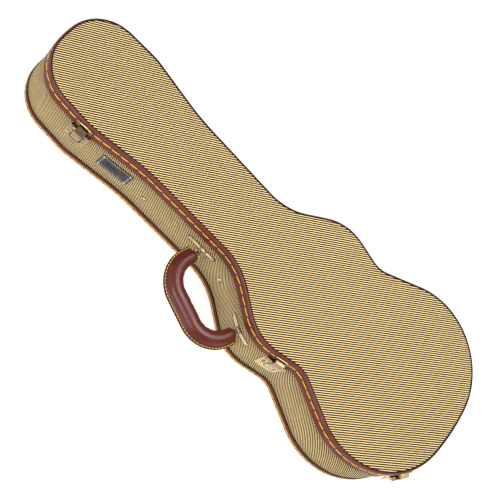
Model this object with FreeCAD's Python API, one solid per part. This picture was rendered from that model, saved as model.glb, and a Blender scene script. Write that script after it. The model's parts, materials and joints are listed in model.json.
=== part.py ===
"""Small guitar case: arched-plan plywood shell, tweed and leatherette covering, brass latches.

The case lies on its underside with the lid up.  +X runs from the head end to the tail end,
-Y is the front with the latches and the handle, +Y is the hinge side, and the origin is the
centre of the underside.  All lengths are in millimetres.
"""
import FreeCAD
import Part
import math
import os

from FreeCAD import Vector

# ---------------------------------------------------------------- driving dimensions
LENGTH = 730.0
HEIGHT = 104.0
SPLIT_Z = 79.5              # where the lid meets the base
SPLIT_GAP = 0.35            # half the gap between lid and base

# Plan outline, half of it: circles joined by their common tangents, from head to tail.
# Distances run from the head end; a concave circle bends the wall inwards.
HEAD_CAP_RADIUS = 150.0
HEAD_CORNER_RADIUS = 59.4
HEAD_CORNER_TURN = 5.9      # degrees from the axis to where cap and corner meet
TAIL_CAP_RADIUS = 326.0
LOWER_BOUT_RADIUS = 110.0
TAIL_CORNER_TURN = 6.86
HEAD_SIDE = (97.3, -22.2, 92.4, "convex")
NECK = (221.0, 385.4, 329.2, "concave")
FLARE = (328.7, 144.4, 89.6, "concave")
UPPER_BOUT = (452.1, 34.0, 72.6, "convex")
WAIST = (505.0, 135.4, 37.6, "concave")

# Wall layers, each as its distance inside the outermost outline.
TWEED_OUT = 1.2
BASE_FRAME_OUT = 2.0
BASE_FRAME_IN = 6.0
LIP_OUT = 6.3
LIP_IN = 8.3
LINING_OUT = 8.5
LINING_IN = 11.0
PAD_EDGE = 11.2
BAND_OUT = 0.4
LID_FRAME_OUT = 1.4
LID_FRAME_IN = 5.4
PANEL_EDGE = 5.5
LID_PAD_EDGE = 8.8

# Heights of the layers.
SKIN = 0.8
BINDING_HEIGHT = 13.5
BINDING_TURN_IN = 9.0
FLOOR_TOP = 4.8
PAD_TOP = 10.8
LIP_TOP = SPLIT_Z + 6.0
PIPING_BOTTOM = 99.3
LID_FRAME_TOP = 102.0
LID_BOARD_BOTTOM = 98.6
LID_BOARD_TOP = 102.6
LID_COVER_TOP = 103.4
LID_PAD_BOTTOM = 94.0

# Handle: its swing axis runs from eye to eye, just off the wall.
HANDLE_EYE_NECK = (-51.3, -65.0)
HANDLE_EYE_BOUT = (53.5, -104.1)
HANDLE_Z = 61.0
HANDLE_DEPTH = 53.2         # swing axis to the core's line at mid-grip
HANDLE_CORNER = 37.6        # bend radius of the core's line
GRIP_END_RADIUS = 9.2
GRIP_MIDDLE_RADIUS = 12.1   # the padding swells inwards, away from the welt
GRIP_SECTIONS = 18
GRIP_START = 5.5            # swing axis to the cut end of the leather
WELT_REACH = 13.3           # core's line to the edge of the stitched welt
WELT_THICKNESS = 3.2
CORE_WIDTH = 9.0
CORE_THICKNESS = 2.4
EYE_RADIUS = 3.4
EYE_WIDTH = 6.0
HANDLE_PIN_RADIUS = 1.5
PIN_CLEARANCE = 0.06
BRACKET_PLATE = 1.2
BRACKET_LENGTH = 48.0
BRACKET_HEIGHT = 10.0
BRACKET_EAR_REACH = 14.0
BRACKET_EAR_HALF = 2.6
BRACKET_SCREW_U = 18.5

# Latches, in each latch's own frame: u along the wall, v up from the split, w out from the tweed.
LATCH_WIDTH = 32.0
LATCH_BOTTOM = -39.5
LATCH_PLATE = 1.2
LEVER_WIDTH = 21.0
LEVER_LENGTH = 30.0
LEVER_THICKNESS = 1.8
LEVER_AXIS_W = 4.4          # lever pin's height above the tweed
LEVER_AXIS_V = 0.8          # and above the split line
LEVER_PIN_RADIUS = 1.1
HASP_AXIS_V = LEVER_AXIS_V - 4.0
HASP_AXIS_W = LEVER_AXIS_W + 3.2
HASP_WIDTH = 14.0
HASP_TOP = 14.2
HASP_PIN_RADIUS = 0.8
CATCH_TOP = 19.0
CATCH_PLATE = 1.0
CATCH_WIDTH = 24.0
LOCK_V = -15.0
LOCK_RADIUS = 3.6
HEAD_LATCH_X = -264.5
WAIST_LATCH_X = 117.0
TAIL_LATCH_ANGLE = -35.5    # around the lower bout's centre

# Name plate, wall rivets and hinges.
NAME_PLATE_X = -200.5
NAME_PLATE_Z = 53.0
NAME_PLATE_SIZE = (48.0, 30.0)
NAME_PLATE_THICKNESS = 1.0
WALL_RIVETS = ((-147.3, 45.0), (-3.1, 46.0))
HINGE_LENGTH = 40.0
HINGE_AXIS_W = 4.6          # hinge pin's height above the tweed
HINGE_PIN_RADIUS = 1.3
HINGE_BARREL_RADIUS = 2.6
HINGE_LEAF_REACH = 17.0
HINGE_LEAF = 1.1

# Accessory compartment under the neck.
BOX_NEAR_WALL = -150.0
BOX_FAR_WALL = -110.0
BOX_WALL = 4.0
BOX_TOP = 38.0
BOX_LID_THICKNESS = 2.5
BOX_PIN_RADIUS = 0.9
CRADLE_X = (-80.0, -60.0)
CRADLE_TOP = 62.0
CRADLE_NOTCH_RADIUS = 24.0

HALF = LENGTH / 2.0
SHORTEST_EDGE = 0.02
SAME = 1e-6                  # lengths closer than this count as equal


# ---------------------------------------------------------------- the plan outline
def outline_circles():
    """Circles of the half outline: (centre x, centre y, radius, +1 convex or -1 concave)."""
    turn = math.radians(HEAD_CORNER_TURN)
    reach = HEAD_CAP_RADIUS - HEAD_CORNER_RADIUS
    head_corner = (HEAD_CAP_RADIUS - reach * math.cos(turn), reach * math.sin(turn),
                   HEAD_CORNER_RADIUS, "convex")
    turn = math.radians(TAIL_CORNER_TURN)
    reach = TAIL_CAP_RADIUS - LOWER_BOUT_RADIUS
    lower_bout = (LENGTH - TAIL_CAP_RADIUS + reach * math.cos(turn), reach * math.sin(turn),
                  LOWER_BOUT_RADIUS, "convex")
    head_cap = (HEAD_CAP_RADIUS, 0.0, HEAD_CAP_RADIUS, "convex")
    tail_cap = (LENGTH - TAIL_CAP_RADIUS, 0.0, TAIL_CAP_RADIUS, "convex")
    chain = [head_cap, head_corner, HEAD_SIDE, NECK, FLARE, UPPER_BOUT, WAIST, lower_bout, tail_cap]
    return [(x - HALF, y, r, 1 if bend == "convex" else -1) for x, y, r, bend in chain]


CIRCLES = outline_circles()
LOWER_BOUT_INDEX = len(CIRCLES) - 2
HEAD_CORNER_INDEX = 1


def tangent_direction(first, second):
    """Angle of the line that leaves the first circle and meets the second."""
    dx = second[0] - first[0]
    dy = second[1] - first[1]
    sine = (first[3] * first[2] - second[3] * second[2]) / math.hypot(dx, dy)
    return math.atan2(dy, dx) - math.asin(max(-1.0, min(1.0, sine)))


def on_circle(circle, line_angle, offset):
    """Point of a circle, moved out by offset, where the outline runs at line_angle."""
    reach = circle[3] * circle[2] + offset
    return (circle[0] - reach * math.sin(line_angle), circle[1] + reach * math.cos(line_angle))


def circle_turns():
    """Each circle with the outline's direction where it starts and ends, in radians."""
    turns = []
    angle_in = math.pi / 2.0
    for circle, following in zip(CIRCLES, CIRCLES[1:] + [None]):
        angle_out = tangent_direction(circle, following) if following else -math.pi / 2.0
        turns.append((circle, angle_in, angle_out))
        angle_in = angle_out
    return turns


def half_outline(offset):
    """Pieces of the +Y half, head to tail: (start, middle or None for a line, end)."""
    pieces = []
    for circle, angle_in, angle_out in circle_turns():
        start = on_circle(circle, angle_in, offset)
        middle = on_circle(circle, (angle_in + angle_out) / 2.0, offset)
        end = on_circle(circle, angle_out, offset)
        if pieces:
            pieces.append((pieces[-1][2], None, start))
        pieces.append((start, middle, end))
    return pieces


def outline_wire(offset):
    """Closed outline at z = 0, moved outwards by offset."""
    edges = []
    for side in (1, -1):
        joint = half_outline(offset)[0][0]
        for start, middle, end in half_outline(offset):
            if math.dist(start, end) < SHORTEST_EDGE:
                continue
            a = Vector(joint[0], side * joint[1], 0)
            joint = end
            b = Vector(end[0], side * end[1], 0)
            if middle is None:
                edges.append(Part.LineSegment(a, b).toShape())
            else:
                edges.append(Part.Arc(a, Vector(middle[0], side * middle[1], 0), b).toShape())
    return Part.Wire(Part.__sortEdges__(edges))


def prism(inset, z_low, z_high):
    """Solid slab inside the outline, inset from it."""
    face = Part.Face(outline_wire(-inset))
    face.translate(Vector(0, 0, z_low))
    return face.extrude(Vector(0, 0, z_high - z_low))


def ring(outer_inset, inner_inset, z_low, z_high):
    """Wall that follows the outline between two insets."""
    return prism(outer_inset, z_low, z_high).cut(prism(inner_inset, z_low - 1.0, z_high + 1.0))


# ---------------------------------------------------------------- frames on the wall
class WallFrame:
    """Frame on the wall: u along it, v up from the split line, w out from the tweed."""

    def __init__(self, point, normal):
        self.normal = normal
        self.tangent = (-normal[1], normal[0])
        self.point = point

    def world(self, u, v, w):
        x = self.point[0] + self.tangent[0] * u + self.normal[0] * w
        y = self.point[1] + self.tangent[1] * u + self.normal[1] * w
        return Vector(x, y, SPLIT_Z + v)

    def place(self, shape):
        """Move a shape modelled with x, y, z as u, v, w onto the wall."""
        t, n, p = self.tangent, self.normal, self.point
        matrix = FreeCAD.Matrix(t[0], 0, n[0], p[0],
                                t[1], 0, n[1], p[1],
                                0, 1, 0, SPLIT_Z,
                                0, 0, 0, 1)
        return shape.transformed(matrix)


def nearest_wall(x, y):
    """Wall frame at the point of the tweed that lies nearest to a plan point."""
    side = 1 if y > 0 else -1
    found = []
    for circle, angle_in, angle_out in circle_turns():
        away = math.dist((x, side * y), circle[:2])
        normal = [circle[3] * (x - circle[0]) / away, circle[3] * (side * y - circle[1]) / away]
        direction = math.atan2(-normal[0], normal[1])
        if min(angle_in, angle_out) <= direction <= max(angle_in, angle_out):
            found.append((on_circle(circle, direction, -TWEED_OUT), normal))
    for start, middle, end in half_outline(-TWEED_OUT):
        run = math.dist(start, end)
        along = ((end[0] - start[0]) / run, (end[1] - start[1]) / run) if run > SHORTEST_EDGE else None
        if middle is not None or along is None:
            continue
        s = (x - start[0]) * along[0] + (side * y - start[1]) * along[1]
        if 0.0 <= s <= run:
            foot = (start[0] + s * along[0], start[1] + s * along[1])
            found.append((foot, (-along[1], along[0])))
    foot, normal = min(found, key=lambda item: math.dist(item[0], (x, side * y)))
    return WallFrame((foot[0], side * foot[1]), (normal[0], side * normal[1]))


def front_frame(x):
    """Frame on the front wall's tweed straight under a given x."""
    y = -HALF / 4.0
    for _ in range(40):
        frame = nearest_wall(x, y)
        y = frame.point[1] - (x - frame.point[0]) * frame.normal[0] / frame.normal[1]
    return frame


def bout_frame(angle):
    """Frame on the tail corner, at an angle round the front lower bout's centre."""
    cx, cy, radius, _ = CIRCLES[LOWER_BOUT_INDEX]
    turn = math.radians(angle)
    return nearest_wall(cx + radius * math.cos(turn), -cy + radius * math.sin(turn))


def hinge_frames():
    """The hinge line is the common tangent of head and lower bout on the +Y side."""
    head, bout = CIRCLES[HEAD_CORNER_INDEX], CIRCLES[LOWER_BOUT_INDEX]
    angle = tangent_direction(head, bout)
    normal = (-math.sin(angle), math.cos(angle))
    return {name: WallFrame(on_circle(circle, angle, -TWEED_OUT), normal)
            for name, circle in (("head", head), ("bout", bout))}


# ---------------------------------------------------------------- small solids
def box(low, high):
    return Part.makeBox(high[0] - low[0], high[1] - low[1], high[2] - low[2], Vector(*low))


def rod(start, direction, radius, length):
    return Part.makeCylinder(radius, length, Vector(*start), Vector(*direction))


def fuse(shapes):
    whole = shapes[0]
    for shape in shapes[1:]:
        whole = whole.fuse(shape)
    return whole.removeSplitter()


def rivet_head(frame, u, v, surface_inset, radius, height):
    """Domed head on the wall surface that lies surface_inset inside the outline."""
    at = frame.world(u, v, 0.0)
    local = nearest_wall(at.x, at.y)
    foot = TWEED_OUT - surface_inset
    sphere_radius = (radius ** 2 + height ** 2) / (2.0 * height)
    ball = Part.makeSphere(sphere_radius, Vector(0, v, foot + height - sphere_radius))
    stub = rod((0, v, foot - 1.0), (0, 0, 1), radius, height + 2.0)
    head = local.place(ball.common(stub))
    return head.cut(prism(surface_inset, 0.0, HEIGHT))


def rounded_plate(u_size, v_low, v_high, low_radius, high_radius, w_low, w_high):
    """Flat plate centred on u = 0 with rounded lower and upper corners."""
    plate = box((-u_size / 2, v_low, w_low), (u_size / 2, v_high, w_high))
    for v, radius in ((v_low, low_radius), (v_high, high_radius)):
        if radius > 0:
            plate = plate.makeFillet(radius, [edge for edge in plate.Edges if is_corner(edge, v)])
    return plate


def is_corner(edge, v):
    """Whether an edge runs straight out from the wall at height v."""
    first, last = edge.Vertexes[0], edge.Vertexes[-1]
    straight = abs(first.X - last.X) < SAME and abs(first.Y - last.Y) < SAME
    return straight and abs(edge.CenterOfMass.y - v) < SAME


def soften_front(plate, w_high, size):
    """Round the edges of a plate's front face."""
    front = [edge for edge in plate.Edges
             if all(abs(vertex.Z - w_high) < SAME for vertex in edge.Vertexes)]
    return plate.makeFillet(size, front)


def on_wall(frame, profile, inner_inset, outer_inset):
    """Keep the part of a placed profile that lies in a layer along the wall."""
    layer = ring(outer_inset, inner_inset, 0.0, HEIGHT)
    return frame.place(profile).common(layer)


PARTS = {}


def add(name, shape):
    PARTS[name] = shape


# ---------------------------------------------------------------- base shell
def make_base_shell():
    top = SPLIT_Z - SPLIT_GAP
    add("base_side_frame", ring(BASE_FRAME_OUT, BASE_FRAME_IN, SKIN, top))
    add("base_floor_board", prism(BASE_FRAME_IN, SKIN, FLOOR_TOP))
    add("base_side_cover", ring(TWEED_OUT, BASE_FRAME_OUT, BINDING_HEIGHT, top))
    add("base_bottom_cover", prism(BINDING_TURN_IN, 0.0, SKIN))
    side = ring(0.0, BASE_FRAME_OUT, SKIN, BINDING_HEIGHT)
    turn_in = ring(0.0, BINDING_TURN_IN, 0.0, SKIN)
    add("base_binding", side.fuse(turn_in).removeSplitter())
    add("base_lip", ring(LIP_OUT, LIP_IN, FLOOR_TOP, LIP_TOP))
    add("base_side_lining", ring(LINING_OUT, LINING_IN, FLOOR_TOP, top))
    add("floor_pad", prism(PAD_EDGE, FLOOR_TOP, PAD_TOP))


def make_compartment():
    near = box((BOX_NEAR_WALL, -HALF, PAD_TOP), (BOX_NEAR_WALL + BOX_WALL, HALF, BOX_TOP))
    far = box((BOX_FAR_WALL, -HALF, PAD_TOP), (BOX_FAR_WALL + BOX_WALL, HALF, BOX_TOP))
    inside = prism(PAD_EDGE, 0.0, HEIGHT)
    pin_x = BOX_NEAR_WALL + BOX_WALL / 2.0
    pin_z = BOX_TOP + 1.6
    ear_gap = 34.0
    ear_width = 5.0
    ears = []
    for side in (1, -1):
        y_low = ear_gap if side > 0 else -ear_gap - ear_width
        ears.append(box((BOX_NEAR_WALL, y_low, BOX_TOP),
                        (BOX_NEAR_WALL + BOX_WALL, y_low + ear_width, pin_z + 1.9)))
    hole = rod((pin_x, -HALF, pin_z), (0, 1, 0), BOX_PIN_RADIUS, LENGTH)
    near_wall = fuse([near.common(inside)] + ears).cut(hole)
    add("compartment_near_wall", near_wall)
    add("compartment_far_wall", far.common(inside))
    pin_half = ear_gap + ear_width
    add("compartment_hinge_pin", rod((pin_x, -pin_half, pin_z), (0, 1, 0), BOX_PIN_RADIUS, 2 * pin_half))
    lid_half = ear_gap - 0.5
    barrel = rod((pin_x, -lid_half, pin_z), (0, 1, 0), BOX_LID_THICKNESS / 2.0 + 0.15, 2 * lid_half)
    leaf_low = BOX_TOP + 0.2
    leaf = box((pin_x, -HALF, leaf_low), (BOX_FAR_WALL + BOX_WALL, HALF, leaf_low + BOX_LID_THICKNESS))
    leaf = leaf.common(prism(PAD_EDGE + 1.0, 0.0, HEIGHT))
    for side in (1, -1):
        y_low = lid_half if side > 0 else -HALF
        y_high = HALF if side > 0 else -lid_half
        leaf = leaf.cut(box((pin_x - 3.0, y_low, 0.0), (pin_x + 5.0, y_high, HEIGHT)))
    lid = fuse([leaf, barrel])
    lid = lid.cut(rod((pin_x, -HALF, pin_z), (0, 1, 0), BOX_PIN_RADIUS + PIN_CLEARANCE, LENGTH))
    add("compartment_lid", lid)
    tab_half = 8.0
    tab_start = BOX_FAR_WALL + BOX_WALL
    tab = box((tab_start, -tab_half, leaf_low + 0.6), (tab_start + 7.0, tab_half, leaf_low + 1.6))
    add("compartment_pull_tab", tab)


def make_neck_cradle():
    block = box((CRADLE_X[0], -HALF, PAD_TOP), (CRADLE_X[1], HALF, CRADLE_TOP))
    block = block.common(prism(PAD_EDGE, 0.0, HEIGHT))
    notch = rod((CRADLE_X[0] - 1.0, 0.0, CRADLE_TOP + 2.0), (1, 0, 0), CRADLE_NOTCH_RADIUS, 30.0)
    add("neck_cradle", block.cut(notch))


# ---------------------------------------------------------------- lid shell
def make_lid_shell():
    bottom = SPLIT_Z + SPLIT_GAP
    add("lid_side_frame", ring(LID_FRAME_OUT, LID_FRAME_IN, bottom, LID_FRAME_TOP))
    add("lid_top_board", prism(LID_FRAME_IN, LID_BOARD_BOTTOM, LID_BOARD_TOP))
    add("lid_band", ring(BAND_OUT, LID_FRAME_OUT, bottom, PIPING_BOTTOM))
    outer = ring(0.0, LID_FRAME_OUT, PIPING_BOTTOM, LID_FRAME_TOP)
    over = ring(0.0, LID_FRAME_IN, LID_FRAME_TOP, HEIGHT)
    add("lid_piping", outer.fuse(over).removeSplitter())
    add("lid_top_cover", prism(PANEL_EDGE, LID_BOARD_TOP, LID_COVER_TOP))
    add("lid_lining_pad", prism(LID_PAD_EDGE, LID_PAD_BOTTOM, LID_BOARD_BOTTOM))


# ---------------------------------------------------------------- latches
def latch_plate():
    """Shield plate on the base and the two ears that carry the lever's pin."""
    profile = rounded_plate(LATCH_WIDTH, LATCH_BOTTOM, -1.0, 9.0, 1.5, -4.0, LATCH_PLATE + 3.0)
    ears = []
    for side in (1, -1):
        u_mid = side * (LATCH_WIDTH / 2.0 - 2.6)
        foot = box((u_mid - 1.6, -7.0, -2.0), (u_mid + 1.6, -1.0, LEVER_AXIS_W))
        neck = box((u_mid - 1.6, -2.0, LEVER_AXIS_W - 2.4), (u_mid + 1.6, LEVER_AXIS_V, LEVER_AXIS_W))
        nose = rod((u_mid - 1.6, LEVER_AXIS_V, LEVER_AXIS_W), (1, 0, 0), 2.4, 3.2)
        ears.append(fuse([foot, neck, nose]))
    return profile, ears


def latch_lever(with_lock):
    """Flip lever: barrel on the pin, flat tongue below it, two lugs that carry the hasp."""
    lever_low = LEVER_AXIS_V - LEVER_LENGTH
    w_low = LATCH_PLATE + 1.2
    tongue = rounded_plate(LEVER_WIDTH, lever_low, LEVER_AXIS_V, 4.0, 0.0, w_low, w_low + LEVER_THICKNESS)
    tongue = soften_front(tongue, w_low + LEVER_THICKNESS, 0.5)
    barrel_half = LATCH_WIDTH / 2.0 - 4.7
    barrel = rod((-barrel_half, LEVER_AXIS_V, LEVER_AXIS_W), (1, 0, 0), 2.1, 2 * barrel_half)
    pieces = [tongue, barrel]
    for side in (1, -1):
        u_mid = side * (HASP_WIDTH / 2.0 + 1.5)
        rise = box((u_mid - 1.2, HASP_AXIS_V - 1.6, w_low), (u_mid + 1.2, HASP_AXIS_V + 1.6, HASP_AXIS_W))
        nose = rod((u_mid - 1.2, HASP_AXIS_V, HASP_AXIS_W), (1, 0, 0), 1.6, 2.4)
        pieces.append(fuse([rise, nose]))
    lever = fuse(pieces)
    pin_hole = rod((-LATCH_WIDTH, LEVER_AXIS_V, LEVER_AXIS_W), (1, 0, 0),
                   LEVER_PIN_RADIUS + PIN_CLEARANCE, 2 * LATCH_WIDTH)
    lever = lever.cut(pin_hole)
    lug_hole = rod((-LATCH_WIDTH, HASP_AXIS_V, HASP_AXIS_W), (1, 0, 0), HASP_PIN_RADIUS, 2 * LATCH_WIDTH)
    lever = lever.cut(lug_hole)
    if with_lock:
        lever = lever.cut(rod((0, LOCK_V, 0), (0, 0, 1), LOCK_RADIUS + PIN_CLEARANCE, 9.0))
    return lever


def lock_cylinder():
    """Round key plug in the waist latch's lever, with a key slot."""
    front = LATCH_PLATE + 1.2 + LEVER_THICKNESS
    plug = rod((0, LOCK_V, LATCH_PLATE + 1.2), (0, 0, 1), LOCK_RADIUS, front + 0.6 - LATCH_PLATE - 1.2)
    slot = box((-0.5, LOCK_V - 2.2, front - 0.8), (0.5, LOCK_V + 2.2, front + 2.0))
    return plug.cut(slot)


def latch_hasp():
    """Plate that reaches up from the lever and hooks over the catch."""
    half = HASP_WIDTH / 2.0
    barrel = rod((-half, HASP_AXIS_V, HASP_AXIS_W), (1, 0, 0), 1.5, 2 * half)
    inner = HASP_AXIS_W - 0.6
    outer = HASP_AXIS_W + 0.6
    plate = box((-half, HASP_AXIS_V, inner), (half, HASP_TOP, outer))
    lip = box((-half, HASP_TOP - 1.4, 3.2), (half, HASP_TOP, outer))
    hasp = fuse([barrel, plate, lip])
    return hasp.cut(rod((-half - 1, HASP_AXIS_V, HASP_AXIS_W), (1, 0, 0),
                        HASP_PIN_RADIUS + PIN_CLEARANCE, HASP_WIDTH + 2))


def latch_catch():
    """Strike plate on the lid band, and the bar under the hasp's hook."""
    profile = rounded_plate(CATCH_WIDTH, 5.5, CATCH_TOP, 0.0, 1.5, -4.0, 5.0)
    bar = box((-6.6, 9.4, 1.6), (6.6, HASP_TOP - 1.4 - 0.3, 5.4))
    return profile, bar


def latch_stations():
    return {
        "head": front_frame(HEAD_LATCH_X),
        "waist": front_frame(WAIST_LATCH_X),
        "tail": bout_frame(TAIL_LATCH_ANGLE),
    }


def make_latches():
    plate_rivets = []
    catch_rivets = []
    lever_pins = []
    hasp_pins = {}
    for name, frame in latch_stations().items():
        profile, ears = latch_plate()
        plate = on_wall(frame, profile, TWEED_OUT, TWEED_OUT - LATCH_PLATE)
        wall = prism(TWEED_OUT, 0.0, HEIGHT)
        plate = fuse([plate] + [frame.place(ear).cut(wall) for ear in ears])
        hole = rod((-LATCH_WIDTH, LEVER_AXIS_V, LEVER_AXIS_W), (1, 0, 0),
                   LEVER_PIN_RADIUS, 2 * LATCH_WIDTH)
        add("latch_plate_" + name, plate.cut(frame.place(hole)))
        add("latch_lever_" + name, frame.place(latch_lever(name == "waist")))
        add("latch_hasp_" + name, frame.place(latch_hasp()))
        profile, bar = latch_catch()
        strike = on_wall(frame, profile, BAND_OUT, BAND_OUT - CATCH_PLATE)
        reach_in = strike.common(frame.place(box((-20, 0, -9), (20, 40, 9))))
        add("latch_catch_" + name, fuse([reach_in, frame.place(bar)]))
        pin_half = LATCH_WIDTH / 2.0 - 1.0
        lever_pins.append(frame.place(rod((-pin_half, LEVER_AXIS_V, LEVER_AXIS_W), (1, 0, 0),
                                          LEVER_PIN_RADIUS, 2 * pin_half)))
        pin_half = HASP_WIDTH / 2.0 + 2.7
        hasp_pins[name] = frame.place(rod((-pin_half, HASP_AXIS_V, HASP_AXIS_W), (1, 0, 0),
                                          HASP_PIN_RADIUS, 2 * pin_half))
        for u in (-12.6, 12.6):
            for v in (-11.0, -28.0):
                plate_rivets.append(rivet_head(frame, u, v, TWEED_OUT - LATCH_PLATE, 1.6, 0.9))
        for u in (-9.6, 9.6):
            catch_rivets.append(rivet_head(frame, u, 16.0, BAND_OUT - CATCH_PLATE, 1.3, 0.8))
    add("latch_lever_pins", Part.makeCompound(lever_pins))
    for name, pin in hasp_pins.items():
        add("hasp_pin_" + name, pin)
    add("latch_plate_rivets", Part.makeCompound(plate_rivets))
    add("latch_catch_rivets", Part.makeCompound(catch_rivets))
    add("lock_cylinder", latch_stations()["waist"].place(lock_cylinder()))


# ---------------------------------------------------------------- hinges
def make_hinges():
    third = HINGE_LENGTH / 3.0
    knuckle_gap = 0.25
    pins = []
    rivets = {"base": [], "lid": []}
    clear = rod((-HINGE_LENGTH, 0, HINGE_AXIS_W), (1, 0, 0), HINGE_BARREL_RADIUS + 0.3, 2 * HINGE_LENGTH)
    for name, frame in hinge_frames().items():
        for side, v_sign, surface in (("base", -1, TWEED_OUT), ("lid", 1, BAND_OUT)):
            v_low, v_high = sorted((v_sign * 0.6, v_sign * HINGE_LEAF_REACH))
            profile = box((-HINGE_LENGTH / 2, v_low, -6.0), (HINGE_LENGTH / 2, v_high, 4.0))
            leaf = on_wall(frame, profile, surface, surface - HINGE_LEAF).cut(frame.place(clear))
            spans = [(-third / 2, third / 2)]
            if side == "base":
                spans = [(-1.5 * third, -third / 2), (third / 2, 1.5 * third)]
            pieces = [leaf]
            for u_low, u_high in spans:
                u_low, u_high = u_low + knuckle_gap, u_high - knuckle_gap
                barrel = rod((u_low, 0, HINGE_AXIS_W), (1, 0, 0), HINGE_BARREL_RADIUS, u_high - u_low)
                web_v = sorted((v_sign * 0.6, v_sign * 4.0))
                web = box((u_low, web_v[0], TWEED_OUT - surface + 0.3), (u_high, web_v[1], HINGE_AXIS_W))
                pieces += [frame.place(barrel), frame.place(web)]
            solid = fuse(pieces)
            bore = rod((-HINGE_LENGTH, 0, HINGE_AXIS_W), (1, 0, 0), HINGE_PIN_RADIUS
                       + (PIN_CLEARANCE if side == "lid" else 0.0), 2 * HINGE_LENGTH)
            add("hinge_%s_%s_leaf" % (name, side), solid.cut(frame.place(bore)))
            for u in (-13.0, 0.0, 13.0):
                rivets[side].append(rivet_head(frame, u, v_sign * 11.5, surface - HINGE_LEAF, 1.8, 1.1))
        pins.append(frame.place(rod((-HINGE_LENGTH / 2, 0, HINGE_AXIS_W), (1, 0, 0),
                                    HINGE_PIN_RADIUS, HINGE_LENGTH)))
    add("hinge_pins", Part.makeCompound(pins))
    add("hinge_base_rivets", Part.makeCompound(rivets["base"]))
    add("hinge_lid_rivets", Part.makeCompound(rivets["lid"]))


# ---------------------------------------------------------------- handle
def handle_frame():
    """Origin halfway between the eyes, x from neck to bout, y out over the grip, z down."""
    dx = HANDLE_EYE_BOUT[0] - HANDLE_EYE_NECK[0]
    dy = HANDLE_EYE_BOUT[1] - HANDLE_EYE_NECK[1]
    span = math.hypot(dx, dy)
    t = (dx / span, dy / span)
    n = (t[1], -t[0])
    mid = [(a + b) / 2.0 for a, b in zip(HANDLE_EYE_BOUT, HANDLE_EYE_NECK)]
    matrix = FreeCAD.Matrix(t[0], n[0], 0, mid[0],
                            t[1], n[1], 0, mid[1],
                            0, 0, -1, HANDLE_Z,
                            0, 0, 0, 1)
    return matrix, span / 2.0


def arch_point(half_span, share):
    """Point of the core's line, a share of the way along the leather, and the way outwards."""
    leg = HANDLE_DEPTH - HANDLE_CORNER - GRIP_START
    bend = HANDLE_CORNER * math.pi / 2.0
    top = 2.0 * (half_span - HANDLE_CORNER)
    length = 2.0 * leg + 2.0 * bend + top
    side = -1.0 if share <= 0.5 else 1.0
    s = length * min(share, 1.0 - share)
    bend_x = half_span - HANDLE_CORNER
    bend_y = HANDLE_DEPTH - HANDLE_CORNER
    if s <= leg:
        return (side * half_span, GRIP_START + s), (side, 0.0)
    if s >= leg + bend:
        return (side * (bend_x - (s - leg - bend)), HANDLE_DEPTH), (0.0, 1.0)
    turn = (s - leg) / HANDLE_CORNER
    out = (side * math.cos(turn), math.sin(turn))
    return (side * bend_x + out[0] * HANDLE_CORNER, bend_y + out[1] * HANDLE_CORNER), out


def grip_roll(half_span):
    """Padded roll lofted through circles: thin at the cut ends, fullest at mid-grip."""
    sections = []
    for i in range(GRIP_SECTIONS + 1):
        share = i / GRIP_SECTIONS
        (x, y), out = arch_point(half_span, share)
        swell = (GRIP_MIDDLE_RADIUS - GRIP_END_RADIUS) * math.sin(math.pi * share)
        centre = Vector(x - out[0] * swell, y - out[1] * swell, 0)
        along = Vector(out[1], -out[0], 0)
        sections.append(Part.Wire(Part.makeCircle(GRIP_END_RADIUS + swell, centre, along)))
    return Part.makeLoft(sections, True, False)


def arch_face(half_span, inner, outer, start):
    """Flat D between two distances from the core's line, measured outwards."""
    bend_y = HANDLE_DEPTH - HANDLE_CORNER
    bend_x = half_span - HANDLE_CORNER

    def rim(distance):
        radius = HANDLE_CORNER + distance
        diagonal = radius * math.sqrt(0.5)
        x, y = bend_x + radius, bend_y + radius
        return [(-x, start), (-x, bend_y), (-bend_x - diagonal, bend_y + diagonal), (-bend_x, y),
                (bend_x, y), (bend_x + diagonal, bend_y + diagonal), (x, bend_y), (x, start)]

    def edges_of(points):
        v = [Vector(p[0], p[1], 0) for p in points]
        return [Part.LineSegment(v[0], v[1]).toShape(), Part.Arc(v[1], v[2], v[3]).toShape(),
                Part.LineSegment(v[3], v[4]).toShape(), Part.Arc(v[4], v[5], v[6]).toShape(),
                Part.LineSegment(v[6], v[7]).toShape()]

    near, far = rim(inner), rim(outer)
    edges = edges_of(near) + edges_of(far)
    for index in (0, -1):
        edges.append(Part.LineSegment(Vector(*near[index], 0), Vector(*far[index], 0)).toShape())
    return Part.Face(Part.Wire(Part.__sortEdges__(edges)))


def flat_arch(half_span, inner, outer, start, thickness):
    face = arch_face(half_span, inner, outer, start)
    face.translate(Vector(0, 0, -thickness / 2.0))
    return face.extrude(Vector(0, 0, thickness))


def handle_core(half_span):
    """Steel strip inside the leather, with a cross-bored eye at each end."""
    core = flat_arch(half_span, -CORE_WIDTH / 2, CORE_WIDTH / 2, 0.0, CORE_THICKNESS)
    for side in (1, -1):
        centre = side * half_span
        for way in (1, -1):
            near, far = sorted((centre + way * EYE_WIDTH / 2, centre + way * (EYE_WIDTH / 2 + 5.0)))
            core = core.cut(box((near, -1.0, -5.0), (far, EYE_RADIUS + 1.2, 5.0)))
        core = fuse([core, rod((centre - EYE_WIDTH / 2, 0, 0), (1, 0, 0), EYE_RADIUS, EYE_WIDTH)])
        core = core.cut(rod((centre - EYE_WIDTH, 0, 0), (1, 0, 0),
                            HANDLE_PIN_RADIUS + PIN_CLEARANCE, 2 * EYE_WIDTH))
    return core


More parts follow.
